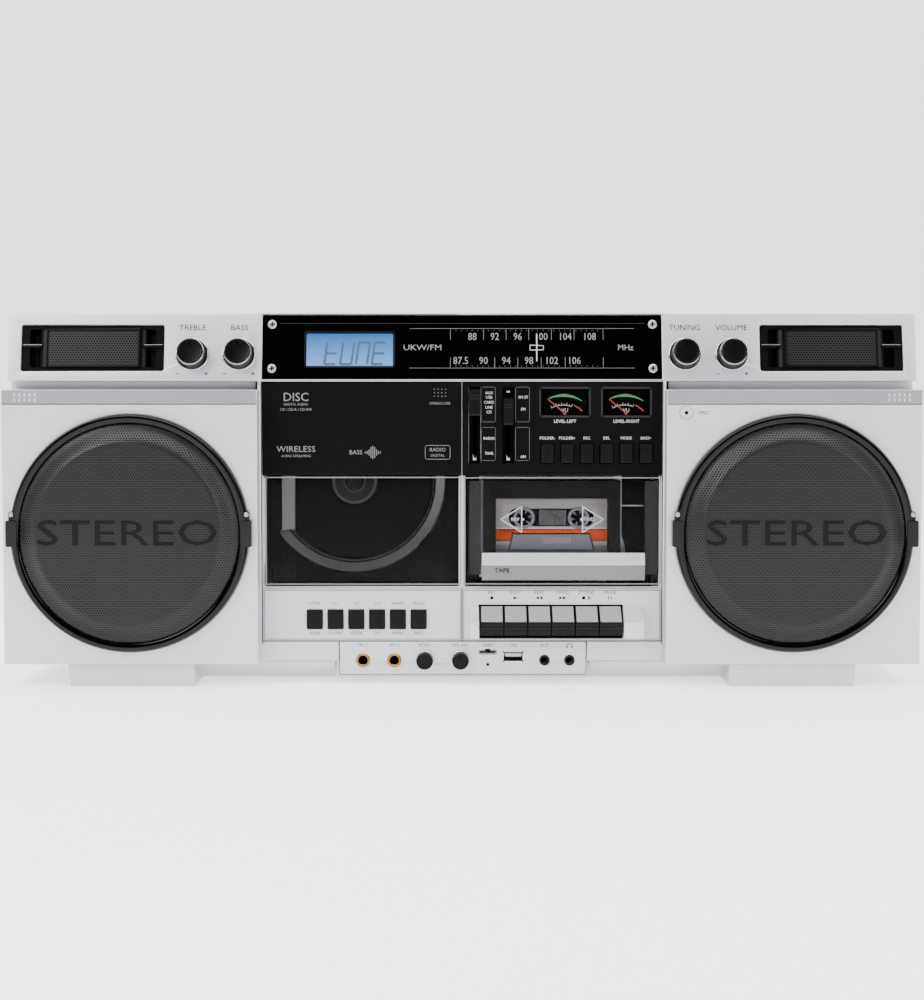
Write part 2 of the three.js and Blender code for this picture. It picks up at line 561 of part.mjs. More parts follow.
// ---------------------------------------------------------------- dial pointer and knobs
const pointer = join(
  box([pointerX - 0.7, pointerX + 0.7], [1.2, 2.2], pointerSpan),
  box([pointerX - 6.4, pointerX + 6.4].map(x => pointerX + (x - pointerX) * 0.65), [1.2, 2.2],
    [pointerSlot - 2.3, pointerSlot + 2.3]),
  box([pointerX - 1.5, pointerX + 1.5], [2, dialThick + 3], [pointerSlot - 0.9, pointerSlot + 0.9]),
  box([pointerX - 5, pointerX + 5], [dialThick + 1, dialThick + 5], [pointerSlot - 5, pointerSlot + 5]));
place('dial_pointer', onConsole(pointer), colours.white);

for (const [name, x] of Object.entries(knobX)) {
  const knob = turned([[0, -knobHeight], [0.72 * knobRadius, -knobHeight], [0.78 * knobRadius, -knobHeight + 1],
    [0.8 * knobRadius, -4.2], [knobRadius - 1.4, -4.2], [knobRadius, -2.6], [knobRadius, -gap], [shaftRadius, -gap],
    [shaftRadius, 14], [0, 14]], x, knobSlope, 40);
  place(name, onConsole(knob), colours.black, { roughness: 0.25 });
}
for (const [name, x] of Object.entries(smallKnobX)) {
  const front = panelDepth;
  place(name, turned([[0, front - 9], [6.4, front - 9], [7, front - 8.4], [7.5, front - gap], [shaftRadius, front - gap],
    [shaftRadius, plateBack + 6], [0, plateBack + 6]], x, jackZ, 32), colours.chrome, { metalness: 0.7 });
}

// ---------------------------------------------------------------- switches, meters, keys, buttons
for (const [name, { x: [x0, x1], top }] of Object.entries(sliders)) {
  const middle = (x0 + x1) / 2;
  place(name, join(
    box([x0 + 0.5, x1 - 0.5], [panelDepth - 5, panelDepth + panelThick - gap], [top - sliderHeight, top]),
    box([middle - 1, middle + 1], [panelDepth + 1, plateBack + 4], [top - sliderHeight / 2 - 3, top - sliderHeight / 2 + 3])),
  colours.black);
}
for (const [name, x, z] of needlePins) {
  const lean = new THREE.Matrix4().makeTranslation(x, 0, z)
    .multiply(new THREE.Matrix4().makeRotationY(-needleAngle));
  const arm = box([-0.4, 0.4], [panelDepth + 1.4, panelDepth + 2.2], [0, needleLength]).transform(lean.toArray());
  place(name, join(arm, rodY(1.2, panelDepth + 1.4, plateBack + 2, x, z, 20)), colours.red);
}
const keyNames = ['record', 'play', 'rewind', 'forward', 'stop_eject', 'pause'];
const keyPivotDepth = 40;
const keyPivotZ = lowerBottom + 18.4;
for (const i of keys) {
  const x0 = keyX + i * keyPitch + gap / 2 + 0.1;
  const x1 = keyX + (i + 1) * keyPitch - gap / 2 - 0.1;
  const outline = [[5, lowerBottom + 14.2], [4.2, lowerBottom + 15.4], [20, lowerBottom + 26.4], [34, lowerBottom + 26.4],
    [44, lowerBottom + 22], [44, lowerBottom + 15], [34, lowerBottom + 12], [26, lowerBottom + keyTravelClear + 1.2],
    [6, lowerBottom + keyTravelClear + 1.2]];
  place(`key_${keyNames[i]}`, prismX(outline, x0, x1), colours.grey);
}
const buttonBody = (span, rise) => join(
  box(span, [panelDepth - buttonProud, plateBack + 4], rise),
  box(grow(span, 1.5), [plateBack + gap + 0.1, plateBack + 2], grow(rise, 1.5)));
const cdButtonNames = ['stop', 'previous', 'play_pause', 'next', 'random', 'program'];
const functionNames = ['folder_down', 'folder_up', 'record', 'delete', 'mode', 'bass_boost'];
for (const i of buttons) {
  place(`cd_button_${cdButtonNames[i]}`, buttonBody(cdSpan(i), cdButtonZ), colours.black);
  place(`function_button_${functionNames[i]}`, buttonBody(functionSpan(i), functionZ), colours.black);
}

// ---------------------------------------------------------------- battery door, handle, antenna
place('battery_door', join(
  box([-bayX - 3.5, bayX + 3.5], [rear - 1.9, rear], grow(bayZ, 3.5)),
  box([-12, 12], [rear - 4, rear - 1.5], [bayZ[0] + 1, bayZ[0] + 6])), colours.silver);

const armInner = pivotX + 6 + gap;
const armX = [armInner, armInner + 10];
const armSide = cut(
  join(rodX(handleBar / 2, ...armX, pivotDepth, pivotZ),
    box(armX, [pivotDepth - handleBar / 2, pivotDepth + handleBar / 2], [pivotZ - handleArm, pivotZ])),
  rodX(3.8 + 0.1, armX[0] - 1, armX[1] + 1, pivotDepth, pivotZ));
const grip = box([-armX[1], armX[1]], [pivotDepth - handleBar / 2, pivotDepth + handleBar / 2],
  [pivotZ - handleArm - handleBar, pivotZ - handleArm + 1]);
place('handle', join(armSide, mirrored(armSide), grip), colours.silver);

const antennaZ = stepFloor + 10.5;
const forkGap = 3;
const antennaBase = join(
  rodZ(6.4, stepFloor + 1.5, stepFloor + 5.5, antennaX, antennaY),
  rodZ(2.4, stepFloor - 8, stepFloor + 2, antennaX, antennaY),
  box([antennaX - 4.5, antennaX + 4.5], [antennaY - 5.8, antennaY - forkGap], [stepFloor + 4, antennaZ + 4]),
  box([antennaX - 4.5, antennaX + 4.5], [antennaY + forkGap, antennaY + 5.8], [stepFloor + 4, antennaZ + 4]));
place('antenna_base', antennaBase, colours.chrome, { metalness: 1 });
const mastLength = 300;
const tipRadius = antennaRadius * 0.6;
const mast = cut(
  join(rodX(antennaRadius, antennaX - mastLength, antennaX - 6.5, antennaY, antennaZ, 24),
    box([antennaX - 10, antennaX + 3], [antennaY - forkGap + 0.3, antennaY + forkGap - 0.3], [antennaZ - 3, antennaZ + 3])),
  rodX(tipRadius + 0.15, antennaX - mastLength - 1, antennaX - 16, antennaY, antennaZ, 24));
place('antenna_mast', mast, colours.chrome, { metalness: 1 });
place('antenna_tip', join(
  rodX(tipRadius, antennaX - mastLength - 2, antennaX - 20, antennaY, antennaZ, 20),
  rodX(antennaRadius, antennaX - mastLength - 8, antennaX - mastLength - gap, antennaY, antennaZ, 24)),
colours.chrome, { metalness: 1 });

// ---------------------------------------------------------------- centre on the depth
const rearmost = pivotDepth + handleBar / 2;
object.position.y = -(rearmost - domeHeight) / 2;
export default object;
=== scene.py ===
"""Looks of a portable radio, disc and cassette player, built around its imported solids."""
import logging
import math
from dataclasses import dataclass, field
from enum import Enum
from typing import Callable, Optional, Sequence

import bmesh
import bpy
from mathutils import Matrix, Vector

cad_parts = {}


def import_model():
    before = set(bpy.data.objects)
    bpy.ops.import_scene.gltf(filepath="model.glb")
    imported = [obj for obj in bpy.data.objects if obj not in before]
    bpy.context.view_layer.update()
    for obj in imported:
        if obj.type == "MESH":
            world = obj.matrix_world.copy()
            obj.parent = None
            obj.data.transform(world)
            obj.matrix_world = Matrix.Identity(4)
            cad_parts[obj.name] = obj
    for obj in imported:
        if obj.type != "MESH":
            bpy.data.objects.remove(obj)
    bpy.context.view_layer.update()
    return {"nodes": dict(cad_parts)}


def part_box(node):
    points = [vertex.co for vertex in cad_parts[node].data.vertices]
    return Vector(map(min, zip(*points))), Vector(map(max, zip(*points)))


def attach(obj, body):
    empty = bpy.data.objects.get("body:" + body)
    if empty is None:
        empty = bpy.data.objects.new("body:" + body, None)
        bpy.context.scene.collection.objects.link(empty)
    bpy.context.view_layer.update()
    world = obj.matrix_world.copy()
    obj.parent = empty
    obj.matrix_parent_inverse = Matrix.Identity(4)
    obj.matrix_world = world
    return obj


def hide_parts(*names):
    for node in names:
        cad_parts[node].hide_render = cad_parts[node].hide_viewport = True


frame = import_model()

log = logging.getLogger("player")
logging.basicConfig(level=logging.INFO, format="%(message)s")

Pair = tuple[float, float]
Point = tuple[float, float, float]
Place = Callable[[float, float, float], Vector]
MM = 0.001


class Grain(Enum):
    """How a surface was made, which sets the direction of its fine texture."""

    MOULDED = "spark-eroded mould"
    POLISHED = "polished mould"
    BRUSHED = "brushed along the width"
    SPUN = "turned on a lathe about the depth axis"
    WOVEN = "woven"


class Side(Enum):
    """The two ends of the player, as the sign of X."""

    LEFT = -1
    RIGHT = 1


# ------------------------------------------------------------------ nodes and finishes


def linear(colour: str, alpha: float = 1.0) -> tuple[float, float, float, float]:
    """Turns an sRGB hex colour into linear RGBA.

    Args:
        colour: six hex digits after a hash sign.
        alpha: opacity.

    Returns:
        The four linear values.
    """
    parts = [int(colour[i:i + 2], 16) / 255 for i in (1, 3, 5)]
    red, green, blue = (p / 12.92 if p <= 0.04045 else ((p + 0.055) / 1.055) ** 2.4 for p in parts)
    return red, green, blue, alpha


def add_node(tree: bpy.types.NodeTree, kind: str, values: Optional[dict] = None,
             links: Optional[dict] = None, **settings: object) -> bpy.types.Node:
    """Adds one node to a tree.

    Args:
        tree: the tree that takes the node.
        kind: the node's class name.
        values: input name or number to its fixed value.
        links: input name or number to the output that feeds it.
        settings: properties of the node itself.

    Returns:
        The new node.
    """
    node = tree.nodes.new(kind)
    for name, value in settings.items():
        setattr(node, name, value)
    for key, value in (values or {}).items():
        node.inputs[key].default_value = value
    for key, source in (links or {}).items():
        tree.links.new(source, node.inputs[key])
    return node


@dataclass(frozen=True)
class Finish:
    """An opaque finish: a base colour with fine grain, slight mottling and uneven gloss."""

    name: str
    colour: str
    roughness: float
    grain: Grain = Grain.MOULDED
    grain_mm: float = 0.5
    bump: float = 0.05
    metallic: float = 0.0
    ior: float = 1.5
    coat: float = 0.0
    shade: float = 0.06
    glow: float = 0.0
    sheen: float = 0.0

    def stretch(self) -> Point:
        """Returns the grain's frequency along X, Y and Z, per metre."""
        fine = 1 / (self.grain_mm * MM)
        if self.grain is Grain.BRUSHED:
            return fine / 60, fine, fine
        return fine, fine, fine

    def material(self) -> bpy.types.Material:
        """Returns the finish as a Blender material, made once."""
        made = bpy.data.materials.get(self.name)
        if made:
            return made
        made = bpy.data.materials.new(self.name)
        made.use_nodes = True
        tree = made.node_tree
        tree.nodes.clear()
        coords = add_node(tree, "ShaderNodeTexCoord").outputs["Object"]
        placed = add_node(tree, "ShaderNodeMapping", {"Scale": self.stretch()}, {"Vector": coords})
        fine = add_node(tree, "ShaderNodeTexNoise", {"Scale": 1.0, "Detail": 3.0},
                {"Vector": placed.outputs[0]})
        broad = add_node(tree, "ShaderNodeTexNoise", {"Scale": 14.0, "Detail": 4.0}, {"Vector": coords})
        dark = tuple(c * (1 - self.shade) for c in linear(self.colour)[:3]) + (1.0,)
        streaks = self.grain in (Grain.BRUSHED, Grain.SPUN)
        tint = add_node(tree, "ShaderNodeMix", {6: dark, 7: linear(self.colour)},
                        {0: (fine if streaks else broad).outputs["Fac"]}, data_type="RGBA")
        spread = 0.12 if streaks else 0.08
        gloss = add_node(tree, "ShaderNodeMapRange",
                         {"From Min": 0.3, "From Max": 0.7, "To Min": max(0.02, self.roughness - spread / 2),
                          "To Max": min(1.0, self.roughness + spread / 2)}, {"Value": broad.outputs["Fac"]})
        relief = add_node(tree, "ShaderNodeBump", {"Strength": self.bump, "Distance": 0.1 * MM},
                          {"Height": fine.outputs["Fac"]})
        shader = add_node(tree, "ShaderNodeBsdfPrincipled",
                          {"Metallic": self.metallic, "Coat Weight": self.coat, "Coat Roughness": 0.04,
                           "Sheen Weight": self.sheen, "Emission Strength": self.glow,
                           "Emission Color": linear(self.colour)},
                          {"Base Color": tint.outputs[2], "Roughness": gloss.outputs[0],
                                  "Normal": relief.outputs[0]})
        if not self.metallic:
            shader.inputs["IOR"].default_value = self.ior
        add_node(tree, "ShaderNodeOutputMaterial", links={"Surface": shader.outputs[0]})
        return made


@dataclass(frozen=True)
class Clear:
    """Clear moulded plastic, seen through, with a polished face."""

    name: str
    tint: str
    alpha: float
    roughness: float = 0.03

    def material(self) -> bpy.types.Material:
        """Returns the clear material, made once."""
        made = bpy.data.materials.get(self.name)
        if made:
            return made
        made = bpy.data.materials.new(self.name)
        made.use_nodes = True
        tree = made.node_tree
        tree.nodes.clear()
        coords = add_node(tree, "ShaderNodeTexCoord").outputs["Object"]
        haze = add_node(tree, "ShaderNodeTexNoise", {"Scale": 30.0, "Detail": 2.0}, {"Vector": coords})
        gloss = add_node(tree, "ShaderNodeMapRange",
                {"To Min": self.roughness, "To Max": self.roughness + 0.04},
                         {"Value": haze.outputs["Fac"]})
        shader = add_node(tree, "ShaderNodeBsdfPrincipled",
                          {"Base Color": linear(self.tint), "IOR": 1.49, "Alpha": self.alpha},
                          {"Roughness": gloss.outputs[0]})
        add_node(tree, "ShaderNodeOutputMaterial", links={"Surface": shader.outputs[0]})
        return made


@dataclass(frozen=True)
class Backlight:
    """A liquid crystal lit from behind, paler towards its lower edge."""

    name: str
    top: str
    foot: str
    low: float
    high: float

    def material(self) -> bpy.types.Material:
        """Returns the lit material, made once."""
        made = bpy.data.materials.get(self.name)
        if made:
            return made
        made = bpy.data.materials.new(self.name)
        made.use_nodes = True
        tree = made.node_tree
        tree.nodes.clear()
        coords = add_node(tree, "ShaderNodeTexCoord").outputs["Object"]
        height = add_node(tree, "ShaderNodeSeparateXYZ", links={0: coords}).outputs["Z"]
        climb = add_node(tree, "ShaderNodeMapRange", {"From Min": self.low, "From Max": self.high},
                {"Value": height})
        tint = add_node(tree, "ShaderNodeMix", {6: linear(self.foot), 7: linear(self.top)},
                {0: climb.outputs[0]},
                        data_type="RGBA")
        shader = add_node(tree, "ShaderNodeBsdfPrincipled", {"Roughness": 0.15, "Emission Strength": 0.3},
                          {"Base Color": tint.outputs[2], "Emission Color": tint.outputs[2]})
        add_node(tree, "ShaderNodeOutputMaterial", links={"Surface": shader.outputs[0]})
        return made


# Sprayed ABS: satin silver-white lacquer over a fine moulded grain, so highlights are broad and soft.
SILVER = Finish("lacquered_abs_silver", "#c6c8cb", 0.38, grain_mm=0.4, bump=0.04, metallic=0.4, shade=0.03)
# Brushed and clear-lacquered aluminium trim: long fine streaks along the width.
TRIM = Finish("brushed_aluminium_trim", "#8e9093", 0.42, Grain.BRUSHED, 0.5, 0.12, 0.55, shade=0.16)
# Brushed facing of the two lower panels, paler than the trim.
FACING = Finish("brushed_facing_silver", "#c3c5c8", 0.4, Grain.BRUSHED, 0.6, 0.08, 0.35, shade=0.07)
# Black ABS from a spark-eroded mould: fine matt grain.
BLACK = Finish("moulded_abs_black", "#030303", 0.55, grain_mm=0.35, bump=0.1, ior=1.15, shade=0.2)
# The same plastic from a polished mould, as on keys and knobs.
SATIN_BLACK = Finish("satin_abs_black", "#030304", 0.34, grain_mm=0.6, bump=0.03, ior=1.22, shade=0.15)
# Acrylic with black printing behind it: a mirror-smooth face.
GLOSS_BLACK = Finish("printed_acrylic_black", "#010101", 0.08, Grain.POLISHED, 2.0, 0.01, ior=1.28, shade=0.1)
# Dark wells and gaps, matt so they stay deep; also the painted shadow line round the cassette's trapezoid.
DEEP = Finish("matt_abs_deep_black", "#020202", 0.8, grain_mm=0.5, bump=0.05, ior=1.1, shade=0.2)
# Punched steel sheet under a powder coat: slightly glossy, charcoal.
POWDER = Finish("powder_coated_punched_steel", "#060607", 0.45, grain_mm=0.25, bump=0.1, metallic=0.1,
        ior=1.25, shade=0.12)
# Bare brushed steel pressing round the disc.
PRESSING = Finish("brushed_steel_pressing", "#6a686b", 0.3, Grain.BRUSHED, 0.7, 0.16, 0.9, shade=0.45)
# Bright nickel plate on rings, screws and the antenna.
PLATE = Finish("bright_nickel_plate", "#c9cbce", 0.16, Grain.POLISHED, 1.0, 0.01, 1.0, shade=0.05)
# Painted highlight: pale grey strips with a faint glow, laid along the edges of clear polystyrene where they catch
# the light.
EDGE = Finish("polystyrene_edge_painted_highlight", "#7d8083", 0.2, Grain.POLISHED, 1.0, 0.02, shade=0.3, glow=0.03)
# Gold flash on the microphone sockets.
GOLD = Finish("gold_flashed_brass", "#9a6f32", 0.25, Grain.POLISHED, 0.8, 0.02, 1.0, shade=0.1)
# Painted shade: a darker grey for the name bar's downward face, standing in for the shade it sits in; the bar is
# one silver part.
SHADED = Finish("name_bar_painted_shade_grey", "#6f7173", 0.5, grain_mm=0.4, bump=0.04, ior=1.3, shade=0.05)
# The raised lettering of the sheet, a shade darker than the sheet round it.
EMBOSSED = Finish("powder_coated_raised_steel", "#08080a", 0.55, grain_mm=0.3, bump=0.1, ior=1.22, shade=0.1)
# Screen-printed inks; the white, green and red ones carry a faint painted glow, as if lit, though no lamp is behind
# them.
WHITE_INK = Finish("white_screen_ink", "#b4b6b8", 0.6, grain_mm=0.3, bump=0.02, shade=0.1, glow=0.05)
GREY_INK = Finish("grey_screen_ink", "#2b2d30", 0.6, grain_mm=0.3, bump=0.02, ior=1.2, shade=0.1)
DIM_INK = Finish("dim_screen_ink", "#505356", 0.6, grain_mm=0.3, bump=0.02, shade=0.1)
BLACK_INK = Finish("black_screen_ink", "#050506", 0.6, grain_mm=0.3, bump=0.02, ior=1.15, shade=0.1)
# Faint painted glow on the green ink.
GREEN_INK = Finish("green_screen_ink", "#1f7a41", 0.5, grain_mm=0.3, bump=0.02, shade=0.1, glow=0.1)
# Faint painted glow on the red lacquer.
RED_INK = Finish("red_lacquer", "#8e2024", 0.45, grain_mm=0.3, bump=0.02, shade=0.1, glow=0.05)
ORANGE = Finish("orange_label_paper", "#b03c0c", 0.6, grain_mm=0.2, bump=0.05, ior=1.2, shade=0.08)
MAROON = Finish("maroon_label_ink", "#7a1408", 0.6, grain_mm=0.2, bump=0.03, ior=1.2, shade=0.08)
LABEL = Finish("grey_label_paper", "#7f7b79", 0.65, grain_mm=0.2, bump=0.05, shade=0.05)
CASSETTE = Finish("cassette_polystyrene_grey", "#5c5e63", 0.4, grain_mm=0.5, bump=0.05, shade=0.08)
REEL = Finish("reel_acetal_pale", "#50545d", 0.4, grain_mm=0.5, bump=0.03, shade=0.08)
TAPE = Finish("ferric_tape_pack", "#26262b", 0.3, Grain.SPUN, 0.15, 0.1, shade=0.2)
KEY_CAP = Finish("metallised_key_cap", "#938f92", 0.36, Grain.BRUSHED, 0.5, 0.06, 0.35, shade=0.08)
COLUMN = Finish("charcoal_abs_column", "#191919", 0.55, grain_mm=0.5, bump=0.05, ior=1.3, shade=0.1)
CLOTH = Finish("acoustic_cloth", "#0b0b0c", 0.95, Grain.WOVEN, 0.6, 0.3, shade=0.3)
CONE = Finish("coated_paper_cone", "#111112", 0.7, grain_mm=0.8, bump=0.2, shade=0.2)
ZINC = Finish("zinc_plated_steel", "#9a9ca1", 0.35, Grain.BRUSHED, 0.8, 0.05, 0.9, shade=0.12)
RESIST = Finish("green_solder_resist", "#1d5c38", 0.35, grain_mm=1.2, bump=0.05, shade=0.15)
DISC_INK = Finish("pale_grey_screen_ink", "#6b6d70", 0.6, grain_mm=0.3, bump=0.02, shade=0.1)
# Dark blue-grey acetal of the disc hub's rings.
HUB = Finish("hub_acetal_slate", "#15181d", 0.4, grain_mm=0.6, bump=0.03, shade=0.1)
# Energised liquid-crystal bars: blue-grey, as a dim segment shows.
CRYSTAL_INK = Finish("liquid_crystal_segment", "#31475f", 0.4, grain_mm=0.4, bump=0.01, shade=0.05)
WINDOW = Clear("clear_polystyrene", "#060606", 0.06)


# ------------------------------------------------------------------ places and shapes

FRONT_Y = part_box("front_panel")[0].y / MM


def front(x: float, depth: float, z: float) -> Vector:
    """Returns the frame point, in metres, at a depth behind the speaker fronts, from millimetres."""
    return Vector((x, depth + FRONT_Y, z)) * MM


def world(x: float, y: float, z: float) -> Vector:
    """Returns a frame point in metres from millimetres."""
    return Vector((x, y, z)) * MM


def span(node: str, axis: int) -> Pair:
    """Returns a node's extent in millimetres along X (0), depth (1) or Z (2)."""
    low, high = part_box(node)
    shift = FRONT_Y if axis == 1 else 0.0
    return low[axis] / MM - shift, high[axis] / MM - shift


def middle(pair: Pair) -> float:
    """Returns the middle of an extent."""
    return (pair[0] + pair[1]) / 2


@dataclass(frozen=True)
class Slope:
    """The leaning face of the console, as the dial panel's solid gives it."""

    foot_depth: float = 20.0
    foot_z: float = 234.6
    lean: float = math.atan2(10.6, 52.4)
    length: float = math.hypot(10.6, 52.4)

    def place(self, x: float, depth: float, up: float) -> Vector:
        """Returns the frame point for a place on the slope, at a depth below its face."""
        sine, cosine = math.sin(self.lean), math.cos(self.lean)
        return front(x, self.foot_depth + depth * cosine + up * sine,
                self.foot_z - depth * sine + up * cosine)


SLOPE = Slope()


def rounded(x: Pair, z: Pair, radius: float, steps: int = 5) -> list[Pair]:
    """Returns a rectangle with round corners as an outline.

    Args:
        x: the extent across.
        z: the extent upwards.
        radius: corner radius.
        steps: segments in each corner.

    Returns:
        The points, anticlockwise.
    """
    centres = ((x[1] - radius, z[1] - radius), (x[0] + radius, z[1] - radius),
               (x[0] + radius, z[0] + radius), (x[1] - radius, z[0] + radius))
    points = []
    for quarter, (cx, cz) in enumerate(centres):
        for step in range(steps + 1):
            angle = (quarter + step / steps) * math.pi / 2
            points.append((cx + radius * math.cos(angle), cz + radius * math.sin(angle)))
    return points


def grown(pair: Pair, by: float) -> Pair:
    """Returns an extent widened by the same amount at both ends."""
    return pair[0] - by, pair[1] + by


class Shape:
    """Closed forms collected in millimetres, then made one mesh in metres."""

    def __init__(self, place: Place = front) -> None:
        """Starts an empty shape.

        Args:
            place: turns millimetres into a frame point in metres.
        """
        self.place = place
        self.mesh = bmesh.new()

    def bridge(self, first: Sequence[Point], second: Sequence[Point], caps: bool) -> None:
        """Joins two loops of the same length by walls, and closes both ends if asked."""
        low = [self.mesh.verts.new(p) for p in first]
        high = [self.mesh.verts.new(p) for p in second]
        count = len(low)
        for i in range(count):
            j = (i + 1) % count
            self.mesh.faces.new((low[i], low[j], high[j], high[i]))
        if caps:
            self.mesh.faces.new(low[::-1])
            self.mesh.faces.new(high)

    def across(self, outline: Sequence[Pair], x: Pair) -> "Shape":
        """Adds an outline of (depth, z) drawn out along X."""
        self.bridge([(x[0], d, z) for d, z in outline], [(x[1], d, z) for d, z in outline], True)
        return self

    def deep(self, outline: Sequence[Pair], depth: Pair, taper: float = 1.0) -> "Shape":
        """Adds an outline of (x, z) drawn out in depth, its rear scaled by taper about its middle."""
        cx = sum(x for x, _ in outline) / len(outline)
        cz = sum(z for _, z in outline) / len(outline)
        rear = [(cx + (x - cx) * taper, depth[1], cz + (z - cz) * taper) for x, z in outline]
        self.bridge([(x, depth[0], z) for x, z in outline], rear, True)
        return self

    def box(self, x: Pair, depth: Pair, z: Pair) -> "Shape":
        """Adds a box."""
        return self.deep([(x[0], z[0]), (x[1], z[0]), (x[1], z[1]), (x[0], z[1])], depth)

    def turned(self, profile: Sequence[Pair], x: float, z: float, segments: int = 64) -> "Shape":
        """Adds a form turned about the depth axis through (x, z).

        Args:
            profile: (radius, depth) points; it starts and ends on the axis, or closes on itself.
            x: the axis across.
            z: the axis height.
            segments: steps round the turn.

        Returns:
            The shape itself.
        """
        rings = []
        for radius, depth in profile:
            if radius < 1e-6:
                rings.append([self.mesh.verts.new((x, depth, z))])
                continue
            turn = [2 * math.pi * i / segments for i in range(segments)]
            rings.append([self.mesh.verts.new((x + radius * math.cos(a), depth,
                    z + radius * math.sin(a))) for a in turn])
        closed = profile[0][0] > 1e-6
        pairs = list(zip(rings, rings[1:])) + ([(rings[-1], rings[0])] if closed else [])
        for first, second in pairs:
            for i in range(segments):
                j = (i + 1) % segments
                corners = [first[i % len(first)], first[j % len(first)], second[j % len(second)],
                        second[i % len(second)]]
                unique = list(dict.fromkeys(corners))
                if len(unique) > 2:
                    self.mesh.faces.new(unique)
        return self

    def disc(self, radius: float, depth: Pair, x: float, z: float, segments: int = 32) -> "Shape":
        """Adds a plain round of one radius."""
        return self.turned([(0, depth[0]), (radius, depth[0]), (radius, depth[1]), (0, depth[1])], x, z,
                segments)

    def ring(self, inner: float, outer: float, depth: Pair, x: float, z: float,
            segments: int = 64) -> "Shape":
        """Adds a flat ring with a slightly rounded front."""
        lip = min(0.3 * (outer - inner), 0.4 * (depth[1] - depth[0]))
        return self.turned([(inner, depth[1]), (inner, depth[0] + lip), (inner + lip, depth[0]),
                (outer - lip, depth[0]),
                            (outer, depth[0] + lip), (outer, depth[1])], x, z, segments)

    def line(self, points: Sequence[Pair], width: float, depth: Pair, closed: bool = False) -> "Shape":
        """Adds a flat line of even width through (x, z) points, as one bar for each stretch."""
        ends = list(points) + ([points[0]] if closed else [])
        for (x0, z0), (x1, z1) in zip(ends, ends[1:]):
            along = Vector((x1 - x0, z1 - z0)).normalized() * (width / 2)
            side = Vector((-along.y, along.x))
            corners = [(x0 - along.x + side.x, z0 - along.y + side.y),
                    (x0 - along.x - side.x, z0 - along.y - side.y),
                       (x1 + along.x - side.x, z1 + along.y - side.y),
                               (x1 + along.x + side.x, z1 + along.y + side.y)]
            self.deep(corners, depth)
        return self

    def arc(self, x: float, z: float, radius: float, turn: Pair, width: Pair, depth: Pair,
            steps: int = 24) -> "Shape":
        """Adds a flat band along an arc, its width going evenly from one value to the other."""
        inner, outer = [], []
        for i in range(steps + 1):
            share = i / steps
            angle = math.radians(turn[0] + (turn[1] - turn[0]) * share)
            half = (width[0] + (width[1] - width[0]) * share) / 2
            inner.append((x + (radius - half) * math.cos(angle), z + (radius - half) * math.sin(angle)))
            outer.append((x + (radius + half) * math.cos(angle), z + (radius + half) * math.sin(angle)))
        for i in range(steps):
            self.deep([inner[i], inner[i + 1], outer[i + 1], outer[i]], depth)
        return self

    def words(self, text: str, x: float, z: float, height: float, depth: Pair,
              widen: float = 1.0) -> "Shape":
        """Adds lettering centred on (x, z).

        Args:
            text: the words.
            x: centre across.
            z: centre height.
            height: height of a capital.
            depth: front and rear of the letters.
            widen: width as a share of the plain letter.

        Returns:
            The shape itself.
        """
        curve = bpy.data.curves.new("lettering", "FONT")
        curve.body = text
        curve.size = height / 0.69
        curve.align_x = "CENTER"
        curve.align_y = "CENTER"
        curve.resolution_u = 2
        curve.extrude = (depth[1] - depth[0]) / 2
        holder = bpy.data.objects.new("lettering", curve)
        mesh = bpy.data.meshes.new_from_object(holder)
        rear = middle(depth)
        for vertex in mesh.vertices:
            vertex.co = Vector((x + vertex.co.x * widen, rear - vertex.co.z, z + vertex.co.y))
        self.mesh.from_mesh(mesh)
        bpy.data.objects.remove(holder)
        bpy.data.curves.remove(curve)
        bpy.data.meshes.remove(mesh)
        return self

    def copied(self, node: str) -> "Shape":
        """Takes in a merged copy of a node's mesh, its flat faces cut afresh; the place has to be world."""
        self.mesh.from_mesh(frame["nodes"][node].data)
        bmesh.ops.scale(self.mesh, vec=(1 / MM,) * 3, verts=self.mesh.verts)
        bmesh.ops.remove_doubles(self.mesh, verts=self.mesh.verts, dist=0.002)
        bmesh.ops.dissolve_limit(self.mesh, angle_limit=math.radians(0.8), verts=self.mesh.verts,
                                 edges=self.mesh.edges, use_dissolve_boundaries=False)
        bmesh.ops.triangulate(self.mesh, faces=self.mesh.faces)
        return self

    def softened(self, width: float, segments: int = 2, shortest: float = 0.0,
            sharpest: float = 28.0) -> "Shape":
        """Rounds the sharp edges.

        Args:
            width: how far the rounding reaches from an edge.
            segments: steps across it.
            shortest: edges shorter than this stay sharp.
            sharpest: the least fold, in degrees, that counts as an edge.

        Returns:
            The shape itself.
        """
        bmesh.ops.remove_doubles(self.mesh, verts=self.mesh.verts, dist=0.001)
        bmesh.ops.recalc_face_normals(self.mesh, faces=self.mesh.faces)
        limit = math.radians(sharpest)
        edges = [e for e in self.mesh.edges if len(e.link_faces) == 2 and e.calc_face_angle(0) > limit
                 and e.calc_length() > shortest]
        bmesh.ops.bevel(self.mesh, geom=edges, offset=width, segments=segments, profile=0.6, affect="EDGES",
                        clamp_overlap=shortest == 0.0, loop_slide=False)
        return self

    def piece(self, name: str, finish: object, body: str, slot: str, stands_for: Sequence[str] = (),
              smooth: float = 40.0, keep_facing: bool = False) -> bpy.types.Object:
        """Makes the shape an object of the scene.

        Args:
            name: the piece's name.
            finish: what it is made of.
            body: the CAD body that it moves with.
            slot: not used.
            stands_for: CAD nodes that it is shown instead of.
            smooth: folds under this many degrees are shaded smooth.
            keep_facing: leaves the faces' directions as they are.

        Returns:
            The object.
        """
        if not keep_facing:
            bmesh.ops.remove_doubles(self.mesh, verts=self.mesh.verts, dist=0.0005)
            bmesh.ops.recalc_face_normals(self.mesh, faces=self.mesh.faces)
        for vertex in self.mesh.verts:
            vertex.co = self.place(*vertex.co)
        mesh = bpy.data.meshes.new(name)
        self.mesh.to_mesh(mesh)
        self.mesh.free()
        return show(name, mesh, finish, body, stands_for, smooth)


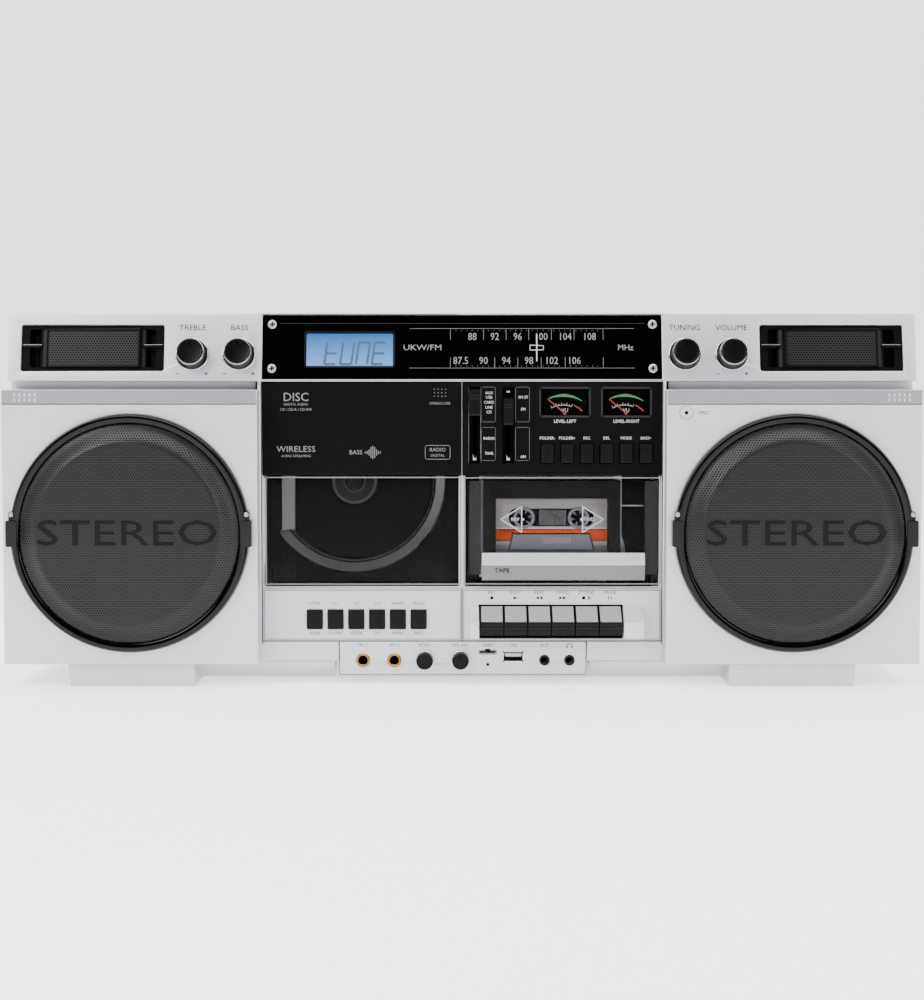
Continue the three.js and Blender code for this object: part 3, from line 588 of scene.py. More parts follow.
def show(name: str, mesh: bpy.types.Mesh, finish: object, body: str,
         stands_for: Sequence[str] = (), smooth: float = 40.0) -> bpy.types.Object:
    """Puts a finished mesh in the scene as one piece that rides on a body.

    Args:
        name: the piece's name.
        mesh: its mesh, in the row frame.
        finish: what it is made of.
        body: the CAD body that it moves with.
        stands_for: CAD nodes that it is shown instead of.
        smooth: folds under this many degrees are shaded smooth.

    Returns:
        The object.
    """
    mesh.materials.clear()
    mesh.materials.append(finish.material())
    mesh.shade_smooth()
    mesh.set_sharp_from_angle(angle=math.radians(smooth))
    piece = bpy.data.objects.new(name, mesh)
    bpy.context.scene.collection.objects.link(piece)
    weigh = piece.modifiers.new("weighted_normals", "WEIGHTED_NORMAL")
    weigh.keep_sharp = True
    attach(piece, body)
    if stands_for:
        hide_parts(*stands_for)
    log.info("%s: %d faces", name, len(mesh.polygons))
    return piece


def dress(node: str, finish: object) -> None:
    """Gives a CAD node that stays in view its material."""
    part = frame["nodes"][node]
    part.data.materials.clear()
    part.data.materials.append(finish.material())
    log.info("%s: dressed", node)


def refined(node: str, finish: object, width: float, body: str, slot: str, segments: int = 2,
            shortest: float = 0.0) -> bpy.types.Object:
    """Shows a node as its own shape with rounded edges."""
    shape = Shape(world).copied(node).softened(width, segments, shortest)
    return shape.piece(f"{node}_moulding", finish, body, slot, (node,))


# ------------------------------------------------------------------ geometry node trees


def new_tree(name: str, inputs: dict[str, str]) -> tuple[bpy.types.NodeTree, bpy.types.Node, dict[str, str]]:
    """Starts a geometry node tree.

    Args:
        name: the tree's name.
        inputs: each input's name and socket class.

    Returns:
        The tree, its input node, and each input's identifier.
    """
    tree = bpy.data.node_groups.new(name, "GeometryNodeTree")
    tree.interface.new_socket("Geometry", in_out="OUTPUT", socket_type="NodeSocketGeometry")
    keys = {}
    for label, kind in inputs.items():
        keys[label] = tree.interface.new_socket(label, in_out="INPUT", socket_type=kind).identifier
    return tree, add_node(tree, "NodeGroupInput"), keys


def grown_mesh(tree: bpy.types.NodeTree, keys: dict[str, str], values: dict[str, object]) -> bpy.types.Mesh:
    """Runs a geometry node tree and returns its result as a plain mesh.

    Args:
        tree: the tree.
        keys: each input's identifier.
        values: each input's value.

    Returns:
        The mesh, with no modifier left on anything.
    """
    holder = bpy.data.objects.new("holder", bpy.data.meshes.new("holder"))
    bpy.context.scene.collection.objects.link(holder)
    modifier = holder.modifiers.new("nodes", "NODES")
    modifier.node_group = tree
    for label, value in values.items():
        modifier[keys[label]] = value
    ready = holder.evaluated_get(bpy.context.evaluated_depsgraph_get())
    mesh = bpy.data.meshes.new_from_object(ready)
    holder.modifiers.remove(modifier)
    bpy.data.objects.remove(holder)
    return mesh


@dataclass
class Perforation:
    """Sheet punched with staggered holes, kept inside a round or a rectangle, and dished if asked."""

    pitch: float = 2.1
    open_share: float = 0.62
    tree: bpy.types.NodeTree = field(init=False)
    keys: dict[str, str] = field(init=False)

    def __post_init__(self) -> None:
        """Builds the tree: a lattice of points, a six-sided tile with a hole on each, then the dish."""
        floats = {n: "NodeSocketFloat" for n in ("Width", "Height", "Pitch", "Open Share", "Radius",
                "Flat Radius",
                                                 "Crown", "Drop")}
        tree, given, keys = new_tree("punched_sheet",
                {**floats, "Columns": "NodeSocketInt", "Rows": "NodeSocketInt",
                                                       "Material": "NodeSocketMaterial"})
        entry = given.outputs
        lattice = add_node(tree, "GeometryNodeMeshGrid", links={
            "Size X": entry["Width"], "Size Y": entry["Height"],
            "Vertices X": entry["Columns"], "Vertices Y": entry["Rows"]})
        where = add_node(tree, "GeometryNodeInputPosition")
        parts = add_node(tree, "ShaderNodeSeparateXYZ", links={0: where.outputs[0]})
        spacing = add_node(tree, "ShaderNodeMath", {1: math.sqrt(3) / 2}, {0: entry["Pitch"]},
                operation="MULTIPLY")
        row = add_node(tree, "ShaderNodeMath", links={0: parts.outputs["Y"], 1: spacing.outputs[0]},
                operation="DIVIDE")
        whole = add_node(tree, "ShaderNodeMath", links={0: row.outputs[0]}, operation="ROUND")
        odd = add_node(tree, "ShaderNodeMath", {1: 2.0}, {0: whole.outputs[0]}, operation="FLOORED_MODULO")
        half = add_node(tree, "ShaderNodeMath", {1: 0.5}, {0: entry["Pitch"]}, operation="MULTIPLY")
        shift = add_node(tree, "ShaderNodeMath", links={0: odd.outputs[0], 1: half.outputs[0]},
                operation="MULTIPLY")
        offset = add_node(tree, "ShaderNodeCombineXYZ", links={"X": shift.outputs[0]})
        staggered = add_node(tree, "GeometryNodeSetPosition", links={"Geometry": lattice.outputs[0],
                                                                    "Offset": offset.outputs[0]})
        reach = add_node(tree, "ShaderNodeVectorMath", links={0: where.outputs[0]}, operation="LENGTH")
        outside = add_node(tree, "FunctionNodeCompare", links={0: reach.outputs["Value"], 1: entry["Radius"]},
                           data_type="FLOAT", operation="GREATER_THAN")
        kept = add_node(tree, "GeometryNodeDeleteGeometry",
                links={0: staggered.outputs[0], 1: outside.outputs[0]},
                        domain="POINT")
        corner = add_node(tree, "ShaderNodeMath", {1: 1 / math.sqrt(3)}, {0: entry["Pitch"]},
                operation="MULTIPLY")
        tile = add_node(tree, "GeometryNodeMeshCircle", {"Vertices": 6}, {"Radius": corner.outputs[0]},
                fill_type="NGON")
        inset = add_node(tree, "GeometryNodeExtrudeMesh", {"Offset Scale": 0.0, "Individual": True},
                         {"Mesh": tile.outputs[0]}, mode="FACES")
        hole = add_node(tree, "GeometryNodeScaleElements", links={
            "Geometry": inset.outputs["Mesh"], "Selection": inset.outputs["Top"],
                    "Scale": entry["Open Share"]})
        punched = add_node(tree, "GeometryNodeDeleteGeometry",
                links={0: hole.outputs[0], 1: inset.outputs["Top"]},
                           domain="FACE")
        tiles = add_node(tree, "GeometryNodeInstanceOnPoints", {"Rotation": (0, 0, math.radians(30))},
                         {"Points": kept.outputs[0], "Instance": punched.outputs[0]})
        real = add_node(tree, "GeometryNodeRealizeInstances", links={0: tiles.outputs[0]})
        welded = add_node(tree, "GeometryNodeMergeByDistance", {"Distance": 0.05 * MM},
                {"Geometry": real.outputs[0]})
        crown = add_node(tree, "ShaderNodeMapRange", {"To Min": 0.0}, {
            "Value": reach.outputs["Value"], "From Max": entry["Flat Radius"], "To Max": entry["Crown"]})
        bevel = add_node(tree, "ShaderNodeMapRange", {"To Min": 0.0}, {
            "Value": reach.outputs["Value"], "From Min": entry["Flat Radius"], "From Max": entry["Radius"],
            "To Max": entry["Drop"]}, interpolation_type="SMOOTHSTEP")
        sink = add_node(tree, "ShaderNodeMath", links={0: crown.outputs[0], 1: bevel.outputs[0]},
                operation="ADD")
        down = add_node(tree, "ShaderNodeMath", {1: -1.0}, {0: sink.outputs[0]}, operation="MULTIPLY")
        dish = add_node(tree, "ShaderNodeCombineXYZ", links={"Z": down.outputs[0]})
        dished = add_node(tree, "GeometryNodeSetPosition", links={"Geometry": welded.outputs[0],
                                                                  "Offset": dish.outputs[0]})
        painted = add_node(tree, "GeometryNodeSetMaterial", links={"Geometry": dished.outputs[0],
                                                                   "Material": entry["Material"]})
        add_node(tree, "NodeGroupOutput", links={0: painted.outputs[0]})
        self.tree = tree
        self.keys = keys

    def sheet(self, width: float, height: float, radius: float, flat: float, crown: float, drop: float,
              finish: Finish) -> bpy.types.Mesh:
        """Returns a punched sheet lying in the local XY plane, in metres.

        Args:
            width: extent across, in millimetres.
            height: extent upwards.
            radius: holes stop at this distance from the middle.
            flat: radius of the nearly flat middle.
            crown: fall from the middle to the flat radius.
            drop: fall from there to the rim.
            finish: what the sheet is made of.

        Returns:
            The mesh.
        """
        columns = int(width / self.pitch) | 1
        rows = int(height / (self.pitch * math.sqrt(3) / 2)) | 1
        return grown_mesh(self.tree, self.keys, {
            "Width": (columns - 1) * self.pitch * MM,
                    "Height": (rows - 1) * self.pitch * math.sqrt(3) / 2 * MM,
            "Pitch": self.pitch * MM, "Open Share": self.open_share, "Radius": radius * MM,
                    "Flat Radius": flat * MM,
            "Crown": crown * MM, "Drop": drop * MM, "Columns": columns, "Rows": rows,
                    "Material": finish.material()})


@dataclass
class Battens:
    """Rows and columns of equal bars with rounded corners, for ribs, slots and vents."""

    tree: bpy.types.NodeTree = field(init=False)
    keys: dict[str, str] = field(init=False)

    def __post_init__(self) -> None:
        """Builds the tree: a grid of points with a bar on each."""
        tree, given, keys = new_tree("battens", {
            "Width": "NodeSocketFloat", "Height": "NodeSocketFloat", "Columns": "NodeSocketInt",
                    "Rows": "NodeSocketInt",
            "Bar": "NodeSocketVector", "Material": "NodeSocketMaterial"})
        entry = given.outputs
        grid = add_node(tree, "GeometryNodeMeshGrid", links={
            "Size X": entry["Width"], "Size Y": entry["Height"],
            "Vertices X": entry["Columns"], "Vertices Y": entry["Rows"]})
        single = add_node(tree, "GeometryNodeMergeByDistance", {"Distance": 0.05 * MM},
                {"Geometry": grid.outputs[0]})
        bar = add_node(tree, "GeometryNodeMeshCube", links={"Size": entry["Bar"]})
        bars = add_node(tree, "GeometryNodeInstanceOnPoints", links={"Points": single.outputs[0],
                                                                     "Instance": bar.outputs[0]})
        real = add_node(tree, "GeometryNodeRealizeInstances", links={0: bars.outputs[0]})
        painted = add_node(tree, "GeometryNodeSetMaterial", links={"Geometry": real.outputs[0],
                                                                   "Material": entry["Material"]})
        add_node(tree, "NodeGroupOutput", links={0: painted.outputs[0]})
        self.tree = tree
        self.keys = keys

    def rows(self, centre: Point, pitch: Pair, count: tuple[int, int], bar: Point, finish: Finish,
             place: Place = front) -> bpy.types.Mesh:
        """Returns the bars in the row frame.

        Args:
            centre: (x, depth, z) of the group's middle, in millimetres.
            pitch: spacing across and upwards.
            count: columns and rows; each is at least 2, or 1 with a pitch of 0.
            bar: width, depth and height of one bar.
            finish: what the bars are made of.
            place: turns millimetres into a frame point.

        Returns:
            The mesh.
        """
        mesh = grown_mesh(self.tree, self.keys, {
            "Width": pitch[0] * (count[0] - 1) * MM, "Height": pitch[1] * (count[1] - 1) * MM,
            "Columns": max(2, count[0]), "Rows": max(2, count[1]),
            "Bar": (bar[0] * MM, bar[2] * MM, bar[1] * MM), "Material": finish.material()})
        return stood_up(mesh, centre, place)


def stood_up(mesh: bpy.types.Mesh, centre: Point, place: Place) -> bpy.types.Mesh:
    """Turns a mesh made in the local XY plane to face the front, about a centre in millimetres."""
    for vertex in mesh.vertices:
        x, y, z = (c / MM for c in vertex.co)
        vertex.co = place(centre[0] + x, centre[1] - z, centre[2] + y)
    return mesh


PUNCHED = Perforation()
BATTENS = Battens()


# ------------------------------------------------------------------ speaker boxes and shell


@dataclass
class Cabinet:
    """The two mouldings that carry everything, and the trim on their fronts and back."""

    edge: float = 0.9
    half_width: float = 350.0
    inner: float = 156.6
    strip: Pair = (217.2, 227.5)
    slot_centre: float = 332.5
    slot_pitch: Pair = (3.9, 3.7)
    slot_bar: Point = (1.3, 0.3, 2.6)
    mic: Pair = (170.7, 210.4)
    rear_depth: float = 168.0
    vent_bar: Point = (34.0, 0.5, 2.4)
    screw_radius: float = 4.2

    def build(self) -> None:
        """Builds the mouldings, the strips, the microphone hole and the fittings on the back."""
        refined("front_panel", SILVER, self.edge, "cabinet", "silver_plastic", 2, 5.0)
        refined("rear_cabinet", SILVER, self.edge, "cabinet", "silver_plastic", 2, 5.0)
        for side in Side:
            self.strip_of(side)
        self.centre_lines()
        self.microphone()
        self.back()

    def strip_of(self, side: Side) -> None:
        """Lays the brushed strip along the top of one speaker box, with its ten small slots."""
        x = sorted((side.value * self.inner, side.value * self.half_width))
        name = side.name.lower()
        trim = Shape().box((x[0], x[1]), (-0.5, 0.3), self.strip).softened(0.2, 2)
        trim.piece(f"strip_{name}", TRIM, "cabinet", "silver_plastic")
        slots = BATTENS.rows((side.value * self.slot_centre, -0.45, middle(self.strip) - 0.4),
                self.slot_pitch, (5, 2),
                             self.slot_bar, SILVER)
        show(f"strip_slots_{name}", slots, SILVER, "cabinet")
        gap = Shape().box((x[0], x[1]), (-0.12, 0.3), (self.strip[0] - 0.7, self.strip[0] - 0.1))
        gap.piece(f"strip_gap_{name}", DEEP, "cabinet", "black_plastic")

    def centre_lines(self) -> None:
        """Lays the polished bead over the black panels and the painted shade lines beside them, where the speaker
        boxes' inner side walls fall in shade.
        """
        # Painted shade: dark grey strips beside the black centre panels, standing in for the shaded inner side
        # walls of the speaker boxes.
        side_wall_shade = Shape()
        for side in Side:
            x = sorted((side.value * 154.5, side.value * 155.1))
            side_wall_shade.box((x[0], x[1]), (18.88, 19.4), (31.0, 234.0))
        side_wall_shade.piece("centre_side_wall_shade", GREY_INK, "cabinet", "black_plastic")
        bead = Shape().box((-154.5, 154.5), (19.2, 21.2), (234.4, 235.2)).softened(0.3, 2)
        bead.piece("console_bead", PLATE, "cabinet", "plated")

    def microphone(self) -> None:
        """Sets the ring and dark hole of the built-in microphone."""
        x, z = self.mic
        Shape().ring(4.7, 5.4, (-0.35, 0.2), x, z, 48).piece("microphone_ring", TRIM, "cabinet",
                "silver_plastic")
        hole = Shape().disc(1.5, (-0.12, 0.4), x, z, 24)
        hole.words("MIC", x + 13.6, z - 0.2, 3.0, (-0.1, 0.1))
        hole.piece("microphone_hole", BLACK_INK, "cabinet", "black_plastic")

    def back(self) -> None:
        """Fits the vents, screws, battery door and mains inlet of the back, and dresses the circuit board."""
        for side in Side:
            name = side.name.lower()
            vents = BATTENS.rows((side.value * 270, self.rear_depth - 0.05, 196), (0, 6.0), (1, 9),
                    self.vent_bar, DEEP)
            show(f"rear_vents_{name}", vents, DEEP, "cabinet")
        screws = Shape()
        slots = Shape()
        for x in (-330, -110, 110, 330):
            for z in (30, 215):
                screws.turned([(0, self.rear_depth + 0.9), (self.screw_radius * 0.7, self.rear_depth + 0.8),
                               (self.screw_radius, self.rear_depth + 0.2),
                                       (self.screw_radius, self.rear_depth - 0.5),
                               (0, self.rear_depth - 0.5)], x, z, 28)
                for turn in (0.6, 0.6 + math.pi / 2):
                    along = (math.cos(turn) * 2.2, math.sin(turn) * 2.2)
                    slots.line([(x - along[0], z - along[1]), (x + along[0], z + along[1])], 0.9,
                               (self.rear_depth + 0.5, self.rear_depth + 0.98))
        screws.piece("rear_screws", ZINC, "cabinet", "bare_steel")
        slots.piece("rear_screw_slots", DEEP, "cabinet", "black_plastic")
        refined("battery_door", SILVER, 0.5, "battery_door", "silver_plastic")
        ridges = BATTENS.rows((0, self.rear_depth + 0.1, 40), (0, 2.2), (1, 5), (22, 0.5, 1.0), SILVER)
        show("battery_door_grip", ridges, SILVER, "battery_door")
        prongs = Shape()
        for x in (252.5, 259.5):
            prongs.deep(rounded((x - 1.1, x + 1.1), (46.6, 49.0), 1.0), (156, 166))
        prongs.piece("mains_pins", PLATE, "cabinet", "plated")
        rim = Shape()
        rim.line([(243, 38.8), (269, 38.8), (269, 56.8), (243, 56.8)], 1.6, (167.6, 168.5), closed=True)
        rim.piece("mains_inlet_rim", DEEP, "cabinet", "black_plastic")
        dress("main_circuit_board", RESIST)


@dataclass
class Speaker:
    """One large loudspeaker: glossy ring, dished punched sheet, cloth, clips and cone."""

    side: Side
    x: float = 253.25
    z: float = 118.5
    outer: float = 91.0
    sheet: float = 83.5
    flat: float = 68.5
    crown_depth: float = -13.9
    clip: Pair = (8.5, 20.0)
    arm: Pair = (4.6, 7.0)
    letter_height: float = 19.0

    def build(self) -> None:
        """Builds the whole loudspeaker."""
        x, name = self.side.value * self.x, self.side.name.lower()
        ring = Shape().turned([(self.sheet - 0.6, 0.2), (self.sheet - 0.8, -3.0), (self.sheet + 0.4, -5.4),
                               (self.sheet + 2.0, -6.4), (self.outer - 1.6, -6.2), (self.outer - 0.5, -5.0),
                               (self.outer, -3.4), (self.outer, 0.2)], x, self.z, 128)
        ring.piece(f"grille_ring_{name}", GLOSS_BLACK, "cabinet", "black_plastic", (f"grille_{name}",))
        bezel = Shape().ring(self.outer - 0.1, self.outer + 0.7, (-0.5, 0.2), x, self.z, 128)
        bezel.piece(f"grille_bezel_{name}", TRIM, "cabinet", "silver_plastic")
        size = 2 * self.sheet
        punched = PUNCHED.sheet(size, size * 1.02, self.sheet, self.flat, 1.0, 8.4, POWDER)
        show(f"grille_sheet_{name}", stood_up(punched, (x, self.crown_depth, self.z), front), POWDER,
                "cabinet",
             smooth=60.0)
        cloth = Shape().turned([(0, -12.6), (self.flat, -11.6), (self.sheet, -3.2), (self.sheet, -2.4),
                                (self.flat, -10.8), (0, -11.8)], x, self.z, 72)
        cloth.piece(f"grille_cloth_{name}", CLOTH, "cabinet", "black_plastic")
        self.clips(x, name)
        letters = Shape().words("STEREO", x, self.z, self.letter_height,
                (self.crown_depth - 0.05, self.crown_depth + 0.6),
                                widen=1.45)
        letters.piece(f"grille_lettering_{name}", EMBOSSED, "cabinet", "mesh_steel")
        dress(f"woofer_{name}", CONE)

    def clips(self, x: float, name: str) -> None:
        """Adds the upright block at each side of the ring, with a short arm and a grey stud over it."""
        blocks, studs = Shape(), Shape()
        (width, height), (arm_width, arm_height) = self.clip, self.arm
        for end in (-1, 1):
            at, top = x + end * (self.outer - 1.75), self.z + height / 2
            blocks.deep(rounded((at - width / 2, at + width / 2), (self.z - height / 2, top), 1.2, 3),
                    (-7.6, 0.1), 1.04)
            blocks.deep(rounded((at - arm_width / 2, at + arm_width / 2), (top - 1.0, top + arm_height), 2.0,
                    4),
                        (-5.6, 0.1), 1.02)
            studs.turned([(0, -6.6), (1.3, -6.4), (1.9, -5.8), (1.9, -0.1), (0, -0.1)], at,
                    top + arm_height - 2.6, 28)
        blocks.softened(0.5, 2)
        blocks.piece(f"grille_clips_{name}", GLOSS_BLACK, "cabinet", "black_plastic")
        studs.piece(f"grille_studs_{name}", ZINC, "cabinet", "plated")


@dataclass
class Tweeter:
    """One small loudspeaker behind a curved punched sheet in the sloping console."""

    side: Side
    x: float = 285.3
    half: float = 55.0
    block_half: float = 35.0
    up: Pair = (8.1, 44.3)
    bar_up: float = 29.5

    def build(self) -> None:
        """Builds the frame, the sheet with its cheeks, and the bars beside it."""
        x, name = self.side.value * self.x, self.side.name.lower()
        dress(f"tweeter_{name}", BLACK)
        low, high = self.up
        sheet = PUNCHED.sheet(2 * self.block_half, high - low - 9, 1000, 999, 0.0, 0.0, POWDER)
        show(f"tweeter_sheet_{name}", stood_up(sheet, (x, 0.6, (low + high) / 2), SLOPE.place), POWDER,
                "cabinet")
        rim = Shape(SLOPE.place)
        rim.box((x - self.block_half - 1, x + self.block_half + 1), (0.1, 3.0), (high - 4.6, high - 3.0))
        rim.box((x - self.block_half - 1, x + self.block_half + 1), (0.1, 3.0), (low + 3.0, low + 4.4))
        for end in (-1, 1):
            edge = x + end * (self.block_half + 0.4)
            rim.box((edge - 0.6, edge + 0.6), (0.1, 3.0), (low + 3.0, high - 3.0))
        rim.softened(0.3, 2)
        rim.piece(f"tweeter_rim_{name}", SATIN_BLACK, "cabinet", "black_plastic")
        cheeks = Shape(SLOPE.place)
        for end in (-1, 1):
            outline = []
            for step in range(9):
                turn = step / 8 * math.pi / 2
                outline.append((x + end * (self.block_half + 1 + 7 * math.sin(turn)),
                        1.2 + 7 * (1 - math.cos(turn))))
            outline.append((x + end * (self.block_half + 1), 8.2))
            self.upright(cheeks, outline, (low + 3.4, high - 3.4))
        cheeks.piece(f"tweeter_cheeks_{name}", SATIN_BLACK, "cabinet", "black_plastic")
        bars = Shape(SLOPE.place)
        for end in (-1, 1):
            bar = sorted((x + end * (self.block_half + 4.5), x + end * (self.half - 1.2)))
            bars.box((bar[0], bar[1]), (0.4, 5.0), (self.bar_up - 3.0, self.bar_up - 0.9))
        bars.softened(0.5, 2)
        bars.piece(f"tweeter_bars_{name}", SATIN_BLACK, "cabinet", "black_plastic")
        lips = Shape(SLOPE.place)
        for end in (-1, 1):
            bar = sorted((x + end * (self.block_half + 4.5), x + end * (self.half - 1.2)))
            lips.box((bar[0], bar[1]), (0.35, 1.2), (self.bar_up - 0.9, self.bar_up - 0.5))
        lips.piece(f"tweeter_bar_lips_{name}", TRIM, "cabinet", "silver_plastic")

    def upright(self, shape: Shape, outline: Sequence[Pair], up: Pair) -> None:
        """Adds an outline of (x, depth) drawn out up the slope."""
        shape.bridge([(x, d, up[0]) for x, d in outline], [(x, d, up[1]) for x, d in outline], True)


# ------------------------------------------------------------------ sloping console


@dataclass
class Console:
    """The glossy dial panel with its screws, display, scale and pointer."""

    half: float = 154.0
    up: Pair = (1.9, 51.96)
    screw_radius: float = 3.6
    screws: tuple[Pair, ...] = ((-146.8, 44.7), (147.3, 44.7), (-146.8, 9.9), (147.3, 9.9))
    groove_up: float = 45.4
    lcd_x: Pair = (-120.2, -53.2)
    lcd_up: Pair = (12.0, 37.6)
    scale_x: Pair = (-40.4, 133.0)
    scale_up: Pair = (10.2, 41.4)
    digit: float = 5.6
    face: float = -0.25
    ink: Pair = (-0.35, -0.2)

    def build(self) -> None:
        """Builds every part of the dial."""
        dress("dial_panel", GLOSS_BLACK)
        self.cover()
        groove = Shape(SLOPE.place).box((-self.half + 13, self.half - 13), self.ink,
                                        (self.groove_up - 0.15, self.groove_up + 0.15))
        groove.piece("dial_groove", GREY_INK, "cabinet", "gloss_panel")
        self.screw_heads()
        self.display()
        self.scale()
        mark_x = middle(span("dial_pointer", 0))
        mark = Shape(SLOPE.place).box((mark_x - 0.4, mark_x + 0.4), (-0.75, -0.4), (15.6, 36.7))
        mark.line([(mark_x - 5.2, 24.2), (mark_x + 5.2, 24.6), (mark_x + 5.2, 27.8), (mark_x - 5.2, 28.2)],
                0.4,
                  (-0.8, -0.4), closed=True)
        mark.piece("dial_pointer_mark", WHITE_INK, "dial_pointer", "white_plastic")
        dress("dial_pointer", DEEP)

    def cover(self) -> None:
        """Lays the printed acrylic over the panel as four sheets that leave the display clear."""
        (x0, x1), (low, high) = grown(self.lcd_x, 0.4), grown(self.lcd_up, 0.4)
        depth = (self.face, 0.0)
        sheets = Shape(SLOPE.place)
        for x, up in (((-self.half + 0.2, x0), (self.up[0] + 0.2, self.up[1] - 0.2)),
                      ((x1, self.half - 0.2), (self.up[0] + 0.2, self.up[1] - 0.2)),
                      ((x0, x1), (self.up[0] + 0.2, low)), ((x0, x1), (high, self.up[1] - 0.2))):
            sheets.box(x, depth, up)
        sheets.piece("dial_cover", GLOSS_BLACK, "cabinet", "gloss_panel")

    def screw_heads(self) -> None:
        """Sets the four bright screws in the corners, with their cross slots."""
        heads, crosses, seats = Shape(SLOPE.place), Shape(SLOPE.place), Shape(SLOPE.place)
        for x, up in self.screws:
            radius = self.screw_radius
            seats.ring(radius + 0.1, radius + 0.9, (-0.2, 0.2), x, up, 40)
            heads.turned([(0, -1.3), (radius * 0.6, -1.15), (radius * 0.92, -0.6), (radius, -0.1),
                    (radius, 0.3), (0, 0.3)],
                         x, up, 40)
            crosses.box((x - 2.1, x + 2.1), (-1.38, -0.6), (up - 0.42, up + 0.42))
            crosses.box((x - 0.42, x + 0.42), (-1.38, -0.6), (up - 2.1, up + 2.1))
        heads.piece("dial_screws", ZINC, "cabinet", "plated")
        crosses.piece("dial_screw_slots", DEEP, "cabinet", "black_plastic")
        seats.piece("dial_screw_seats", DEEP, "cabinet", "black_plastic")

    def display(self) -> None:
        """Builds the lit crystal, its frame and its slanted seven-bar letters."""
        low, high = SLOPE.place(0, 0, self.lcd_up[0]).z, SLOPE.place(0, 0, self.lcd_up[1]).z
        crystal = Backlight("backlit_liquid_crystal", "#274f82", "#527db0", low, high)
        face = Shape(SLOPE.place).deep(rounded(self.lcd_x, self.lcd_up, 0.8, 3), (0.5, 3.0))
        face.piece("crystal_face", crystal, "cabinet", "display", ("lcd_display",))
        frame_line = Shape(SLOPE.place)
        corners = rounded(grown(self.lcd_x, 1.1), grown(self.lcd_up, 1.1), 1.2, 3)
        frame_line.line(corners, 0.3, (self.face - 0.1, 0.1), closed=True)
        frame_line.piece("crystal_frame", GREY_INK, "cabinet", "gloss_panel")
        bars = {"t": "defg", "U": "bcdef", "N": "abcef", "E": "adefg"}
        letters = Shape(SLOPE.place)
        width, height, pitch, lean = 8.6, 17.0, 12.2, 0.14
        left = middle(self.lcd_x) - 1.5 * pitch - width / 2 + 3.0
        foot = self.lcd_up[0] + 1.4
        for number, letter in enumerate("tUNE"):
            x0, x1 = left + number * pitch, left + number * pitch + width
            z0, z1, z2 = foot, foot + height / 2, foot + height
            ends = {"a": ((x0, z2), (x1, z2)), "b": ((x1, z1), (x1, z2)), "c": ((x1, z0), (x1, z1)),
                    "d": ((x0, z0), (x1, z0)),
                    "e": ((x0, z0), (x0, z1)), "f": ((x0, z1), (x0, z2)), "g": ((x0, z1), (x1, z1))}
            for bar in bars[letter]:
                start, stop = (Vector((x + (z - foot) * lean, z)) for x, z in ends[bar])
                trim = (stop - start).normalized() * 1.0
                letters.line([tuple(start + trim), tuple(stop - trim)], 1.6, (0.35, 0.6))
        letters.piece("crystal_letters", CRYSTAL_INK, "cabinet", "display")

    def scale(self) -> None:
        """Prints the two scale lines, their numbers, ticks and dots, and the band names."""
        print_ = Shape(SLOPE.place)
        low, high = self.scale_up
        for up in (low, high):
            print_.box(self.scale_x, self.ink, (up - 0.12, up + 0.12))
        upper = {str(88 + 4 * i): 8.0 + 17.1 * i + 0.2 * i * i for i in range(6)}
        lower = {text: -0.9 + 17.5 * i for i, text in enumerate(("87.5", "90", "94", "98", "102", "106"))}
        for text, x in upper.items():
            print_.words(text, x, high - 6.6, self.digit, self.ink, widen=0.86)
        for text, x in lower.items():
            print_.words(text, x, low + 5.6, self.digit, self.ink, widen=0.86)
        for x in [-9.0, 109.0, *list(lower.values())[1:]]:
            print_.box((x - 0.14, x + 0.14), self.ink, (high - 9.0, high - 0.4))
        for x in [-9.0, 109.0, *list(upper.values())[1:-1]]:
            print_.box((x - 0.14, x + 0.14), self.ink, (low + 0.4, low + 8.4))
        for i in range(29):
            x = -9.0 + 118.0 * i / 28
            print_.box((x - 0.14, x + 0.14), self.ink, (high - 1.9, high - 1.2))
            print_.box((x - 0.14, x + 0.14), self.ink, (low + 1.2, low + 1.9))
        print_.words("UKW/FM", -30.5, 26.2, 4.4, self.ink, widen=1.2)
        print_.words("MHz", 126.2, 26.2, 4.4, self.ink, widen=1.0)
        print_.piece("dial_print", DISC_INK, "cabinet", "gloss_panel")


